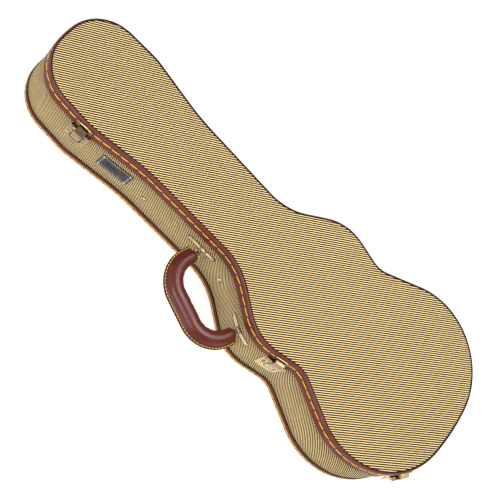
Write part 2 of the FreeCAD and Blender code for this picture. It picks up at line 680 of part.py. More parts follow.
def make_handle():
    matrix, half_span = handle_frame()
    roll = grip_roll(half_span)
    hollow = flat_arch(half_span, -CORE_WIDTH / 2, CORE_WIDTH / 2, 0.0, CORE_THICKNESS)
    grip = roll.cut(hollow)
    welt = flat_arch(half_span, GRIP_END_RADIUS - 1.0, WELT_REACH, GRIP_START, WELT_THICKNESS)
    add("handle_core", handle_core(half_span).transformed(matrix))
    add("handle_grip", grip.transformed(matrix))
    add("handle_welt", welt.cut(roll).transformed(matrix))


def handle_bracket(frame, matrix, centre):
    """Long plate on the wall with two ears out to the swing axis."""
    v_mid = HANDLE_Z - SPLIT_Z
    profile = box((-BRACKET_LENGTH / 2, v_mid - BRACKET_HEIGHT / 2, -4.0),
                  (BRACKET_LENGTH / 2, v_mid + BRACKET_HEIGHT / 2, 4.0))
    corners = [edge for edge in profile.Edges
               if is_corner(edge, v_mid - BRACKET_HEIGHT / 2)
               or is_corner(edge, v_mid + BRACKET_HEIGHT / 2)]
    profile = profile.makeFillet(BRACKET_HEIGHT / 2 - 0.1, corners)
    pieces = [on_wall(frame, profile, TWEED_OUT, TWEED_OUT - BRACKET_PLATE)]
    wall = prism(TWEED_OUT, 0.0, HEIGHT)
    for way in (1, -1):
        low, high = sorted((centre + way * (EYE_WIDTH / 2 + 0.3), centre + way * (EYE_WIDTH / 2 + 2.0)))
        arm = box((low, -BRACKET_EAR_REACH, -BRACKET_EAR_HALF), (high, 0.0, BRACKET_EAR_HALF))
        nose = rod((low, 0, 0), (1, 0, 0), BRACKET_EAR_HALF, high - low)
        pieces.append(fuse([arm, nose]).transformed(matrix).cut(wall))
    bore = rod((centre - EYE_WIDTH, 0, 0), (1, 0, 0), HANDLE_PIN_RADIUS, 2 * EYE_WIDTH)
    return fuse(pieces).cut(bore.transformed(matrix))


def make_handle_brackets():
    """Brackets on the front wall, the pins the handle swings on, and the bracket screws."""
    matrix, half_span = handle_frame()
    pins = []
    screws = []
    pin_half = EYE_WIDTH / 2 + 2.4
    for side, name, eye in ((-1, "neck", HANDLE_EYE_NECK), (1, "bout", HANDLE_EYE_BOUT)):
        frame = nearest_wall(*eye)
        centre = side * half_span
        add("handle_bracket_" + name, handle_bracket(frame, matrix, centre))
        pin = rod((centre - pin_half, 0, 0), (1, 0, 0), HANDLE_PIN_RADIUS, 2 * pin_half)
        pins.append(pin.transformed(matrix))
        for u in (-BRACKET_SCREW_U, BRACKET_SCREW_U):
            screws.append(rivet_head(frame, u, HANDLE_Z - SPLIT_Z, TWEED_OUT - BRACKET_PLATE, 2.7, 1.6))
    add("handle_pins", Part.makeCompound(pins))
    add("handle_bracket_screws", Part.makeCompound(screws))


# ---------------------------------------------------------------- name plate and rivets
def make_small_trim():
    frame = front_frame(NAME_PLATE_X)
    v_mid = NAME_PLATE_Z - SPLIT_Z
    width, height = NAME_PLATE_SIZE
    profile = rounded_plate(width, v_mid - height / 2, v_mid + height / 2, 2.0, 2.0, -4.0, 5.0)
    add("name_plate", on_wall(frame, profile, TWEED_OUT, TWEED_OUT - NAME_PLATE_THICKNESS))
    nails = []
    for u in (-width / 2 + 3.0, width / 2 - 3.0):
        for v in (v_mid - height / 2 + 3.0, v_mid + height / 2 - 3.0):
            nails.append(rivet_head(frame, u, v, TWEED_OUT - NAME_PLATE_THICKNESS, 1.8, 1.1))
    add("name_plate_nails", Part.makeCompound(nails))
    rivets = []
    for x, z in WALL_RIVETS:
        frame = front_frame(x)
        rivets.append(rivet_head(frame, 0.0, z - SPLIT_Z, TWEED_OUT, 2.9, 1.5))
    add("wall_rivets", Part.makeCompound(rivets))


def main():
    os.makedirs("parts", exist_ok=True)
    make_base_shell()
    make_compartment()
    make_neck_cradle()
    make_lid_shell()
    make_latches()
    make_hinges()
    make_handle()
    make_handle_brackets()
    make_small_trim()
    for name, shape in PARTS.items():
        shape.exportStep("parts/%s.step" % name)
        print("%-26s solids %2d volume %10.1f valid %s"
              % (name, len(shape.Solids), shape.Volume, shape.isValid()))


main()
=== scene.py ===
"""Looks of the small guitar case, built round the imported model.

Lengths are in millimetres until a mesh is made, in the part's own frame: +X from the head end to
the tail end, -Y the front, +Z up.  Wall pieces are swept round the model's own plan outline, from
profiles of (inset, z): how far in from the outline, and how high.
"""
import json
import math

import bmesh
import bpy
from mathutils import Matrix, Vector, noise


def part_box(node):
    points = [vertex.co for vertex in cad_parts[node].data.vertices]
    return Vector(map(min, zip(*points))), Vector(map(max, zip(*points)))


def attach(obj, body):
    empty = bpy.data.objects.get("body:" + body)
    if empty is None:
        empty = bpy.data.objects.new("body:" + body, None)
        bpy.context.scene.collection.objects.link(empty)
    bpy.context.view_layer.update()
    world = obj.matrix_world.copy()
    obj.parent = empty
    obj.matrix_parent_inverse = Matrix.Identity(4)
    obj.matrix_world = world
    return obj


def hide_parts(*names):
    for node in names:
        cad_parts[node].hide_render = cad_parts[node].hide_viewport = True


MM = 0.001
WELD_DISTANCE = 1e-6        # metres

# Plan outline, as in the model: circles joined by their common tangents, head to tail.
LENGTH = 730.0
HALF = LENGTH / 2.0
HEAD_CAP_RADIUS = 150.0
HEAD_CORNER_RADIUS = 59.4
HEAD_CORNER_TURN = 5.9
TAIL_CAP_RADIUS = 326.0
LOWER_BOUT_RADIUS = 110.0
TAIL_CORNER_TURN = 6.86
HEAD_SIDE = (97.3, -22.2, 92.4, 1)
NECK = (221.0, 385.4, 329.2, -1)
FLARE = (328.7, 144.4, 89.6, -1)
UPPER_BOUT = (452.1, 34.0, 72.6, 1)
WAIST = (505.0, 135.4, 37.6, -1)

SEAM_X = -144.0             # where the wall coverings are joined, on the hinge side
LOOP_STEP = 3.0
LEAST_STEP = 0.2            # places on the outline nearer than this become one
PANEL_RUNGS = 24

# Tweed, one cloth for every side.
TWEED_PERIOD = 2.98         # one light and one dark stripe
YARN_PERIOD = 0.8           # one yarn of the twill, along a stripe
LID_STRIPE_ANGLE = 37.4     # degrees from +X
WALL_STRIPE_ANGLE = 132.6   # degrees from along the wall, towards the tail, to up

# Unevenness of the soft surfaces: waves per millimetre, and where in the noise each use reads it.
RIPPLE_ALONG = 0.05
RIPPLE_UP = 0.12
RIPPLE_SEED = 3.7
DIMPLE_WAVES = 0.03
DIMPLE_SEED = 1.3
CROWN_ACROSS = 5            # a higher power keeps a crowned panel level for longer before its rim
CROWN_ALONG = 14

# Thread.  A stitch's line has (share of its half length, depth under the surface).
STITCH_UNEVENNESS = 0.03    # of its length
STITCH_WAVES = 1.7
THREAD_SIDES = 8
THREAD_TIP = 0.45           # how thick its ends are, beside the rest
THREAD_TWIST_STEP = 1.5     # length that each step of a thread has in its own coordinates
WALL_STITCH_LINE = ((-1.0, 0.9), (-0.86, 0.25), (-0.45, -0.1), (0.0, -0.16),
                    (0.45, -0.1), (0.86, 0.25), (1.0, 0.9))
BAND_STITCH = {"inset": 0.45, "z": 93.5, "period": 14.0, "dash": 12.9,
               "width": 1.7, "height": 1.25, "slant": 0.6}
BINDING_STITCH = {"inset": 0.3, "z": 4.3, "period": 10.6, "dash": 10.9,
                  "width": 1.9, "height": 1.15, "slant": 0.2}

BINDING_TOP = 13.5
CLOTH_FRAMES = 20
SMOOTH_ROUNDS = 4
CRADLE_VOXEL = 4.0
CRADLE_PRESSURE = 4.0
CRADLE_SWELL = 1.9          # how far the cradle's cushion may swell
CRADLE_SHRINK = 1.6         # how much smaller it starts
TAB_THICKNESS = 0.4
TAB_DROOP = 0.15            # how far the ribbon tab's corners hang, at TAB_RUN from the lid
TAB_RUN = 7.0
TAB_RINGS = 13

# Handle, as in the model.
HANDLE_EYE_NECK = (-51.3, -65.0)
HANDLE_EYE_BOUT = (53.5, -104.1)
HANDLE_Z = 61.0
HANDLE_DEPTH = 53.2
HANDLE_CORNER = 37.6
GRIP_END_RADIUS = 9.2
GRIP_MIDDLE_RADIUS = 12.1
GRIP_START = 5.5
GRIP_STEPS = 90
WELT_REACH = 13.3
WELT_HALF = 1.65
WELT_ROOT = GRIP_END_RADIUS + 1.0
# Rings at each end of the grip: (distance from the end, size, whether it is the mouth round the steel).
GRIP_END_RINGS = ((0.0, 0.5, True), (0.0, 0.86, False), (0.25, 0.955, False), (0.9, 1.0, False))
GRIP_MOUTH = (0.42, 0.22)
GRIP_PINCH = 0.036          # depth of the creases on the inner side, as a share of the section
CREASE_WAVES = 0.16
CREASE_SEED = 5.0
HANDLE_STITCH_LINE = ((-1.0, 0.6), (-0.8, 0.1), (0.0, -0.18), (0.8, 0.1), (1.0, 0.6))
HANDLE_STITCH_PERIOD = 3.5
HANDLE_STITCH_HALF = 1.25
HANDLE_STITCH_FROM_EDGE = 1.9

# Latches, lock, name plate and rivets, as in the model.  On a latch, u is along the wall, v up and
# w out, from the lever's pin.
LATCHES = ("head", "waist", "tail")
LOCKED_LATCH = "waist"
LEVER_FACE_W = -0.2
# painted shade: (u, v) points of the dark line round the lever's face
LEVER_SHADE_LINE = ((7.6, -8.5), (7.6, -14.0), (7.6, -21.5), (6.9, -23.6), (4.8, -24.4))
LEVER_SHADE_LINE_FOOT_V = -24.6
LOCK_V = -15.8
PLUG_RADIUS = 3.6
PLUG_GAP = 0.35
CATCH_RIM = {"reach": 11.4, "inner": 6.0, "v": 17.6, "w": -1.9, "width": 1.5, "height": 1.5}
HASP_BEAD = {"reach": 6.8, "inner": 3.0, "v": -4.9, "w": 4.1, "width": 1.2, "height": 0.9}
NAME_PLATE_X = -200.5
NAME_PLATE_Z = 53.0
NAME_PLATE_INSET = 0.19
NAME_PLATE_BORDERS = ((21.4, 12.4, 0.55), (19.9, 10.9, 0.3))    # half length, half height, line width
NAME_PLATE_BARS = (("dark", -14.5, 4.0, "black_print_and_painted_shade"), ("red", 6.5, 14.5, "leatherette"))
NAME_PLATE_BAR_WIDTH = 4.2
WALL_RIVETS = (("neck", -147.3, 45.0), ("waist", -3.1, 46.0))
# painted shade: dark rings round the rivets and the handle's brackets
RIVET_SHADE_RING = {"reach": 0.0, "radius": 3.2, "inset": 1.05, "width": 1.3}
BRACKET_SHADE_RING = {"reach": 19.0, "radius": 4.5, "inset": 0.0, "width": 1.2}

# Metals.  A node takes the first tone that its name starts with, or else its slot's own.
EDGE_BEVEL = 0.25
SHARP_EDGE_ANGLE = 40.0
METAL_SLOTS = ("brass", "steel", "name_plate_metal")
FITTING_TONES = (
    # the latch catches' dark brass is painted shade; the pins and the handle's core are given a darker brass
    (("handle_pins", "handle_core", "latch_lever_pins", "hasp_pin_", "latch_catch_"), "dark_and_shaded_brass"),
    # painted shade: the head latch's plate, lever and hasp take brass darkened as shade
    (("latch_plate_head", "latch_lever_head"), "shaded_brass"),
    (("handle_bracket_",), "brass"),
    (("latch_hasp_head",), "shaded_hasp"),
    (("latch_hasp_",), "hasp"),
)
HASP_SHADE_Z = 80.5         # above it a hasp is painted a darker tone as shade, over the next millimetre

# Camera, from the photograph's view of the outline, in metres, and studio.
CAMERA_SPOT = (-0.27855, -0.74686, 1.39195)
CAMERA_RIGHT = (0.68446, 0.56662, 0.45876)
CAMERA_DOWN = (0.70668, -0.67033, -0.22640)
CAMERA_FORWARD = (0.17923, 0.47916, -0.85923)
CAMERA_LENS = 84.66
SENSOR_WIDTH = 36.0
SOFTBOXES = (               # name, place, aim, size and power
    ("overhead_softbox", (0.35, 0.45, 2.1), (0.0, 0.0, 0.0), (1.7, 1.3), 45.0),
    ("front_softbox", (-0.8, -1.7, 1.2), (0.0, -0.05, 0.05), (1.2, 0.9), 25.0),
)
WORLD_LIGHT = 0.42
WORLD_SEEN = 1.0            # how bright the same world is where the camera sees it
FLOOR_REACH = 40.0
FLOOR_DROP = 0.0003
WHITE = (1.0, 1.0, 1.0, 1.0)


# ---- the plan outline
def corner_circle(cap, radius, degrees, way):
    """Circle that touches an end cap's circle from inside, a turn away from the middle line."""
    reach = cap[2] - radius
    turn = math.radians(degrees)
    return (cap[0] + way * reach * math.cos(turn), reach * math.sin(turn), radius, 1)


def outline_circles():
    """Circles of the half outline: (centre x, centre y, radius, +1 convex or -1 concave)."""
    head_cap = (HEAD_CAP_RADIUS, 0.0, HEAD_CAP_RADIUS, 1)
    tail_cap = (LENGTH - TAIL_CAP_RADIUS, 0.0, TAIL_CAP_RADIUS, 1)
    head_corner = corner_circle(head_cap, HEAD_CORNER_RADIUS, HEAD_CORNER_TURN, -1)
    lower_bout = corner_circle(tail_cap, LOWER_BOUT_RADIUS, TAIL_CORNER_TURN, 1)
    chain = [head_cap, head_corner, HEAD_SIDE, NECK, FLARE, UPPER_BOUT, WAIST, lower_bout, tail_cap]
    return [(x - HALF, y, r, bend) for x, y, r, bend in chain]


def tangent_direction(first, second):
    """Angle of the line that leaves the first circle and meets the second."""
    dx = second[0] - first[0]
    dy = second[1] - first[1]
    sine = (first[3] * first[2] - second[3] * second[2]) / math.hypot(dx, dy)
    return math.atan2(dy, dx) - math.asin(max(-1.0, min(1.0, sine)))


def on_circle(circle, line_angle, offset):
    """Point of a circle, moved out by offset, where the outline runs at line_angle."""
    reach = circle[3] * circle[2] + offset
    return (circle[0] - reach * math.sin(line_angle), circle[1] + reach * math.cos(line_angle))


class Place:
    """A place on the outline: on an arc, or a share of the way along a straight run."""

    def __init__(self, start, end, share, side):
        self.start = start
        self.end = end
        self.share = share
        self.side = side

    def point(self, inset):
        a = on_circle(*self.start, -inset)
        b = on_circle(*self.end, -inset)
        return (a[0] + (b[0] - a[0]) * self.share, self.side * (a[1] + (b[1] - a[1]) * self.share))


def half_places(step, side):
    """Places along one half of the outline, from the head's centre to the tail's."""
    circles = outline_circles()
    found = []
    angle_in = math.pi / 2.0
    for circle, following in zip(circles, circles[1:] + [None]):
        angle_out = tangent_direction(circle, following) if following else -math.pi / 2.0
        turns = max(1, math.ceil(abs(angle_out - angle_in) * circle[2] / step))
        for i in range(turns + 1):
            here = (circle, angle_in + (angle_out - angle_in) * i / turns)
            found.append(Place(here, here, 0.0, side))
        if following:
            start, end = (circle, angle_out), (following, angle_out)
            pieces = math.ceil(math.dist(on_circle(*start, 0.0), on_circle(*end, 0.0)) / step)
            found += [Place(start, end, i / pieces, side) for i in range(1, pieces)]
        angle_in = angle_out
    kept = found[:1]
    for place in found[1:]:
        if math.dist(place.point(0.0), kept[-1].point(0.0)) > LEAST_STEP:
            kept.append(place)
    return kept


class Loop:
    """The whole outline, counter-clockwise from above, from the seam on the hinge side."""

    def __init__(self, step):
        self.back = half_places(step, 1)
        self.front = half_places(step, -1)
        seam = min(range(len(self.back)), key=lambda i: abs(self.back[i].point(0.0)[0] - SEAM_X))
        self.places = self.back[seam::-1] + self.front[1:-1] + self.back[:seam:-1]
        points = [place.point(0.0) for place in self.places]
        run = [0.0]
        for a, b in zip(points, points[1:] + points[:1]):
            run.append(run[-1] + math.dist(a, b))
        head = run[seam]    # back[0], the head's centre, is place number seam
        self.along = [s - head for s in run]
        self.length = run[-1]

    def at(self, s, inset):
        """Point and unit tangent at a distance s from the head's centre, positive to the front."""
        s = (s - self.along[0]) % self.length + self.along[0]
        low, high = 0, len(self.places)
        while high - low > 1:
            middle = (low + high) // 2
            low, high = (middle, high) if self.along[middle] <= s else (low, middle)
        a = self.places[low].point(inset)
        b = self.places[(low + 1) % len(self.places)].point(inset)
        share = (s - self.along[low]) / (self.along[low + 1] - self.along[low])
        run = math.dist(a, b)
        tangent = ((b[0] - a[0]) / run, (b[1] - a[1]) / run)
        return (a[0] + (b[0] - a[0]) * share, a[1] + (b[1] - a[1]) * share), tangent

    def s_at_x(self, x):
        """Distance along the front where the outline reaches x."""
        low, high = 0.0, self.length / 2.0
        while high - low > 0.01:
            middle = (low + high) / 2.0
            low, high = (middle, high) if self.at(middle, 0.0)[0][0] < x else (low, middle)
        return low

    def s_nearest(self, spot):
        """Distance along the front to the outline's nearest point, to a quarter of a millimetre."""
        tries = [i / 4.0 for i in range(int(self.length * 2.0))]
        return min(tries, key=lambda s: math.dist(self.at(s, 0.0)[0], spot))


LOOP = Loop(LOOP_STEP)


# ---- mesh making
def add_object(name, data):
    made = bpy.data.objects.new(name, data)
    bpy.context.scene.collection.objects.link(made)
    return made


class Builder:
    """Collects vertices in millimetres, faces, and one (u, v) in millimetres for each face corner."""

    def __init__(self):
        self.vertices = []
        self.faces = []
        self.uvs = []
        self.marks = []

    def add(self, vertices, faces, uvs=None, marks=None):
        """Marks pick the second material for some faces."""
        start = len(self.vertices)
        self.vertices += vertices
        self.faces += [tuple(start + k for k in face) for face in faces]
        self.uvs += uvs if uvs else [[(0.0, 0.0)] * len(face) for face in faces]
        self.marks += marks if marks else [0] * len(faces)
        return self

    def turn_over(self):
        self.faces = [face[::-1] for face in self.faces]
        self.uvs = [corners[::-1] for corners in self.uvs]
        return self

    def build(self, name, body, slot, material, second=None, node=None):
        """Make the piece; it stands for a node of the model if one is given."""
        mesh = bpy.data.meshes.new(name)
        mesh.from_pydata([Vector(v) * MM for v in self.vertices], [], self.faces)
        layer = mesh.uv_layers.new(name="weave")
        flat = [value * MM for corners in self.uvs for pair in corners for value in pair]
        layer.data.foreach_set("uv", flat)
        mesh.polygons.foreach_set("use_smooth", [True] * len(mesh.polygons))
        mesh.materials.append(material)
        if second:
            mesh.materials.append(second)
            mesh.polygons.foreach_set("material_index", self.marks)
        made = add_object(name, mesh)
        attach(made, body)
        if node:
            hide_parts(node)
        return made


def arc(centre, radius, start, end, count):
    """Points of an arc in a profile's (inset, z) plane; angles in degrees, 0 is inwards."""
    turns = [math.radians(start + (end - start) * i / count) for i in range(count + 1)]
    return [(centre[0] + radius * math.cos(a), centre[1] + radius * math.sin(a)) for a in turns]


def wall_weave(s, z):
    """Weave coordinates on the wall: across the stripes, then along them."""
    turn = math.radians(WALL_STRIPE_ANGLE - 90.0)
    return (s * math.cos(turn) + z * math.sin(turn), z * math.cos(turn) - s * math.sin(turn))


def lid_weave(x, y):
    """Weave coordinates on the lid and the underside, in the same order."""
    turn = math.radians(LID_STRIPE_ANGLE)
    return (-x * math.sin(turn) + y * math.cos(turn), x * math.cos(turn) + y * math.sin(turn))


def sweep(profile, weave=None, ripple=0.0, marked=()):
    """Sweep a closed (inset, z) profile, up the outer side and down the inner, round the loop.

    The profile edges whose numbers are in marked get the second material.
    """
    count, ring = len(LOOP.places), len(profile)
    vertices = []
    for i, place in enumerate(LOOP.places):
        for inset, z in profile:
            spot = Vector((LOOP.along[i] * RIPPLE_ALONG, z * RIPPLE_UP, RIPPLE_SEED))
            vertices.append(place.point(inset + ripple * noise.noise(spot)) + (z,))
    run = [0.0]
    for a, b in zip(profile, profile[1:] + profile[:1]):
        run.append(run[-1] + math.dist(a, b))
    faces, uvs, marks = [], [], []
    for i in range(count):
        following = (i + 1) % count
        for j in range(ring):
            k = (j + 1) % ring
            faces.append((i * ring + j, following * ring + j, following * ring + k, i * ring + k))
            marks.append(1 if j in marked else 0)
            corners = ((i, j, j), (i + 1, j, j), (i + 1, k, j + 1), (i, k, j + 1))
            if weave:
                uvs.append([weave(LOOP.along[a], profile[b][1]) for a, b, _ in corners])
            else:
                uvs.append([(LOOP.along[a], run[c]) for a, _, c in corners])
    return Builder().add(vertices, faces, uvs, marks)


def panel(rim, crown, dimple=0.0, marked=0):
    """Sheet across the outline: a rim profile, outermost first, then a crowned middle.

    The first few edges of the rim, as many as marked says, get the second material.
    """
    vertices, faces = [], []
    count, ring = len(LOOP.places), len(rim)
    for place in LOOP.places:
        vertices += [place.point(inset) + (z,) for inset, z in rim]
    for i in range(count):
        k = (i + 1) % count
        faces += [(i * ring + j, k * ring + j, k * ring + j + 1, i * ring + j + 1) for j in range(ring - 1)]
    marks = [1 if j < marked else 0 for _ in range(count) for j in range(ring - 1)]
    inset, z = rim[-1]
    start = len(vertices)
    for near, far in zip(LOOP.front, LOOP.back):
        a, b = near.point(inset), far.point(inset)
        for j in range(PANEL_RUNGS + 1):
            t = j / PANEL_RUNGS
            x, y = a[0], a[1] + (b[1] - a[1]) * t
            level = 1.0 - abs(2.0 * t - 1.0) ** CROWN_ACROSS
            rise = crown * level * (1.0 - abs(x / HALF) ** CROWN_ALONG)
            rise += dimple * noise.noise(Vector((x * DIMPLE_WAVES, y * DIMPLE_WAVES, DIMPLE_SEED))) * level
            vertices.append((x, y, z + rise))
    wide = PANEL_RUNGS + 1
    for i in range(len(LOOP.front) - 1):
        for j in range(PANEL_RUNGS):
            a = start + i * wide + j
            faces.append((a, a + wide, a + wide + 1, a + 1))
    uvs = [[lid_weave(*vertices[k][:2]) for k in face] for face in faces]
    return Builder().add(vertices, faces, uvs, marks + [0] * (len(faces) - len(marks)))


def weld(made):
    """Join the vertices of a made mesh that lie in one place."""
    work = bmesh.new()
    work.from_mesh(made.data)
    bmesh.ops.remove_doubles(work, verts=work.verts, dist=WELD_DISTANCE)
    bmesh.ops.dissolve_degenerate(work, edges=work.edges, dist=WELD_DISTANCE)
    work.to_mesh(made.data)
    work.free()


def recalculate(made):
    """Turn a closed mesh's faces outwards."""
    work = bmesh.new()
    work.from_mesh(made.data)
    bmesh.ops.recalc_face_normals(work, faces=work.faces)
    work.to_mesh(made.data)
    work.free()


def skin(count, ring):
    """Faces between as many rings as count says, each of ring vertices, and a cap on each end."""
    faces = []
    for i in range(count - 1):
        for j in range(ring):
            k = (j + 1) % ring
            faces.append((i * ring + j, i * ring + k, (i + 1) * ring + k, (i + 1) * ring + j))
    faces.append(tuple(range(ring))[::-1])
    faces.append(tuple((count - 1) * ring + j for j in range(ring)))
    return faces


def tube(rings):
    """Skin through rings of equal count, closed at both ends."""
    return Builder().add([tuple(point) for ring in rings for point in ring], skin(len(rings), len(rings[0])))


def thread(builder, points, outs, width, height):
    """Tapered thread through points; outs are the surface's directions there."""
    vertices, uvs = [], []
    last = len(points) - 1
    for i, (point, out) in enumerate(zip(points, outs)):
        ahead = (points[min(i + 1, last)] - points[max(i - 1, 0)]).normalized()
        across = ahead.cross(out).normalized()
        out = across.cross(ahead)
        taper = THREAD_TIP if i in (0, last) else 1.0
        for q in range(THREAD_SIDES):
            turn = 2.0 * math.pi * q / THREAD_SIDES
            offset = across * math.cos(turn) * width * taper / 2 + out * math.sin(turn) * height * taper / 2
            vertices.append(tuple(point + offset))
    for i in range(last):
        near, far = i * THREAD_TWIST_STEP, (i + 1) * THREAD_TWIST_STEP
        for q in range(THREAD_SIDES):
            low, high = q / THREAD_SIDES, (q + 1) / THREAD_SIDES
            uvs.append([(near, low), (near, high), (far, high), (far, low)])
    uvs += [[(0.0, 0.0)] * THREAD_SIDES] * 2
    builder.add(vertices, skin(len(points), THREAD_SIDES), uvs)


def wall_thread(builder, spots, inset, width, height):
    """Thread on the wall through spots of (distance along, height, depth under the surface)."""
    points, outs = [], []
    for s, z, sink in spots:
        (x, y), tangent = LOOP.at(s, inset)
        outs.append(Vector((tangent[1], -tangent[0], 0.0)))
        points.append(Vector((x, y, z)) - outs[-1] * sink)
    thread(builder, points, outs, width, height)


def wall_stitches(inset, z, period, dash, width, height, slant):
    """Row of stitches round the wall, each one slanting up a little towards the tail."""
    row = Builder()
    count = round(LOOP.length / period)
    for n in range(count):
        middle = LOOP.along[0] + LOOP.length * (n + 0.5) / count
        reach = dash * (0.5 + STITCH_UNEVENNESS * noise.noise(Vector((n * STITCH_WAVES, 0.0, 0.0))))
        spots = [(middle + share * reach, z + slant * share, sink) for share, sink in WALL_STITCH_LINE]
        wall_thread(row, spots, inset, width, height)
    return row


# ---- materials
class Shade:
    """A material's node tree, with short calls to add and join nodes."""

    def __init__(self, name, color, **sockets):
        self.material = bpy.data.materials.new(name)
        self.material.use_nodes = True
        self.tree = self.material.node_tree
        self.bsdf = self.tree.nodes["Principled BSDF"]
        self.bsdf.inputs["Base Color"].default_value = (*color, 1.0)
        for socket, value in sockets.items():
            self.bsdf.inputs[socket.replace("_", " ")].default_value = value

    def add(self, kind, inputs, output=0, **settings):
        made = self.tree.nodes.new("ShaderNode" + kind)
        for setting, value in settings.items():
            setattr(made, setting, value)
        for socket, value in inputs.items():
            self.feed(made.inputs[socket], value)
        return made.outputs[output]

    def feed(self, socket, value):
        if isinstance(value, bpy.types.NodeSocket):
            self.tree.links.new(value, socket)
        else:
            socket.default_value = value

    def math(self, operation, a, b=0.0, clamp=False):
        return self.add("Math", {0: a, 1: b}, operation=operation, use_clamp=clamp)

    def wave(self, phase):
        """Sine of a phase that is counted in whole turns."""
        return self.math("SINE", self.math("MULTIPLY", phase, 2.0 * math.pi))

    def unit(self, wave):
        """A wave from -1 to 1, brought to 0 to 1."""
        return self.add("Math", {0: wave, 1: 0.5, 2: 0.5}, operation="MULTIPLY_ADD")

    def parts(self, vector):
        """The x, y and z of a vector."""
        made = self.tree.nodes.new("ShaderNodeSeparateXYZ")
        self.tree.links.new(vector, made.inputs[0])
        return made.outputs

    def weave(self):
        """The piece's weave coordinates, in metres."""
        return self.add("UVMap", {}, uv_map="weave")

    def place(self, scale=(1.0, 1.0, 1.0)):
        """The piece's own coordinates in metres, scaled."""
        return self.add("Mapping", {"Vector": self.add("TexCoord", {}, output="Object"), "Scale": scale})

    def noise(self, scale, detail=4.0, vector=None, roughness=0.5):
        inputs = {"Vector": vector or self.place(), "Scale": scale, "Detail": detail, "Roughness": roughness}
        return self.add("TexNoise", inputs)

    def ramp(self, value, *stops):
        """Colour ramp through (position, grey or colour) stops."""
        made = self.tree.nodes.new("ShaderNodeValToRGB")
        self.tree.links.new(value, made.inputs[0])
        elements = made.color_ramp.elements
        for element, (position, tone) in zip(elements, stops):
            element.position = position
            element.color = (*tone, 1.0) if isinstance(tone, tuple) else (tone, tone, tone, 1.0)
        return made.outputs[0]

    def mix(self, factor, a, b):
        made = self.tree.nodes.new("ShaderNodeMix")
        made.data_type = "RGBA"
        for socket, value in ((made.inputs[0], factor), (made.inputs[6], a), (made.inputs[7], b)):
            self.feed(socket, (*value, 1.0) if isinstance(value, tuple) else value)
        return made.outputs[2]

    def bump(self, height, distance, strength):
        """Bump of a height from 0 to 1 that stands for a distance in metres."""
        return self.add("Bump", {"Height": height, "Distance": distance, "Strength": strength})

    def finish(self, color=None, roughness=None, normal=None):
        for socket, value in (("Base Color", color), ("Roughness", roughness), ("Normal", normal)):
            if value:
                self.tree.links.new(value, self.bsdf.inputs[socket])
        return self.material


def tweed():
    """Diagonal stripes of light and dark yarn in a twill weave."""
    light, golden = (0.99, 0.79, 0.41), (0.90, 0.66, 0.28)
    dark, brown = (0.045, 0.020, 0.002), (0.080, 0.038, 0.006)
    shade = Shade("tweed", light, Roughness=0.9, Specular_IOR_Level=0.15)
    weave = shade.weave()
    across, along, _ = shade.parts(weave)
    wander = shade.math("MULTIPLY", shade.noise(260.0, 2.0, weave), 0.05)
    phase = shade.math("ADD", shade.math("MULTIPLY", across, 1.0 / (TWEED_PERIOD * MM)), wander)
    stripe = shade.wave(phase)
    yarn = shade.wave(shade.math("ADD", shade.math("MULTIPLY", along, 1.0 / (YARN_PERIOD * MM)), phase))
    edge = shade.math("ADD", stripe, shade.math("MULTIPLY", yarn, 0.12))
    mask = shade.ramp(shade.unit(edge), (0.735, 0.0), (0.79, 1.0))
    fleck = shade.noise(900.0, 3.0, weave)
    pale = shade.mix(shade.ramp(fleck, (0.42, 0.0), (0.74, 0.8)), light, golden)
    deep = shade.mix(shade.ramp(fleck, (0.45, 0.0), (0.80, 0.8)), dark, brown)
    color = shade.mix(mask, deep, pale)
    height = shade.math("ADD", stripe, shade.math("MULTIPLY", yarn, 0.5))
    return shade.finish(color, None, shade.bump(height, 0.00014, 0.6))


def leather(name, tone, dark, grain, roughness, bump, shine, crest_highlight=None):
    """Pebbled, slightly worn leather, with painted shade in the hollows between its pebbles; the crest tone,
    if given, is a painted highlight on a roll's upward-facing side.
    """
    shade = Shade(name, tone, Roughness=roughness, Specular_IOR_Level=shine)
    cells = shade.add("TexVoronoi", {"Vector": shade.place(), "Scale": grain}, feature="F1")
    fine = shade.noise(grain * 2.3, 3.0)
    pebbles = shade.ramp(cells, (0.0, 1.0), (0.75, 0.0))
    height = shade.math("ADD", pebbles, shade.math("MULTIPLY", fine, 0.45))
    cloudy = shade.ramp(shade.noise(22.0, 5.0), (0.32, 0.0), (0.68, 1.0))
    color = shade.mix(cloudy, tone, dark)
    # painted shade: the leather is darker in the hollows between its pebbles
    crease_shade = shade.ramp(cells, (0.42, 0.0), (0.80, 0.5))
    color = shade.mix(crease_shade, color, tuple(value * 0.55 for value in dark))
    # painted highlight: the roll turns lighter where it faces up
    if crest_highlight:
        upward = shade.parts(shade.add("TexCoord", {}, output="Normal"))[2]
        color = shade.mix(shade.ramp(upward, (0.80, 0.0), (0.93, 0.8)), color, crest_highlight)
    gloss = shade.ramp(shade.noise(60.0, 4.0), (0.3, roughness - 0.08), (0.7, roughness + 0.10))
    return shade.finish(color, gloss, shade.bump(height, bump, 0.6))


def leathers():
    """The leatherette, the lid's roll, and the handle's two leathers."""
    red, deep_red = (0.155, 0.021, 0.010), (0.108, 0.013, 0.0065)
    rows = {                # tone, deep tone, grain, roughness, bump, shine, painted highlight tone on a roll's crest
        "leatherette": (red, deep_red, 1100.0, 0.50, 0.00010, 0.16),
        "piping_leather": ((0.165, 0.024, 0.013), deep_red, 1100.0, 0.36, 0.00006, 0.35, (0.36, 0.12, 0.11)),
        "handle_leather": ((0.135, 0.019, 0.011), (0.095, 0.012, 0.007), 1500.0, 0.34, 0.00004, 0.42),
        "welt_leather": ((0.075, 0.014, 0.010), (0.050, 0.009, 0.006), 1500.0, 0.5, 0.00006, 0.2),
    }
    return {name: leather(name, *row) for name, row in rows.items()}


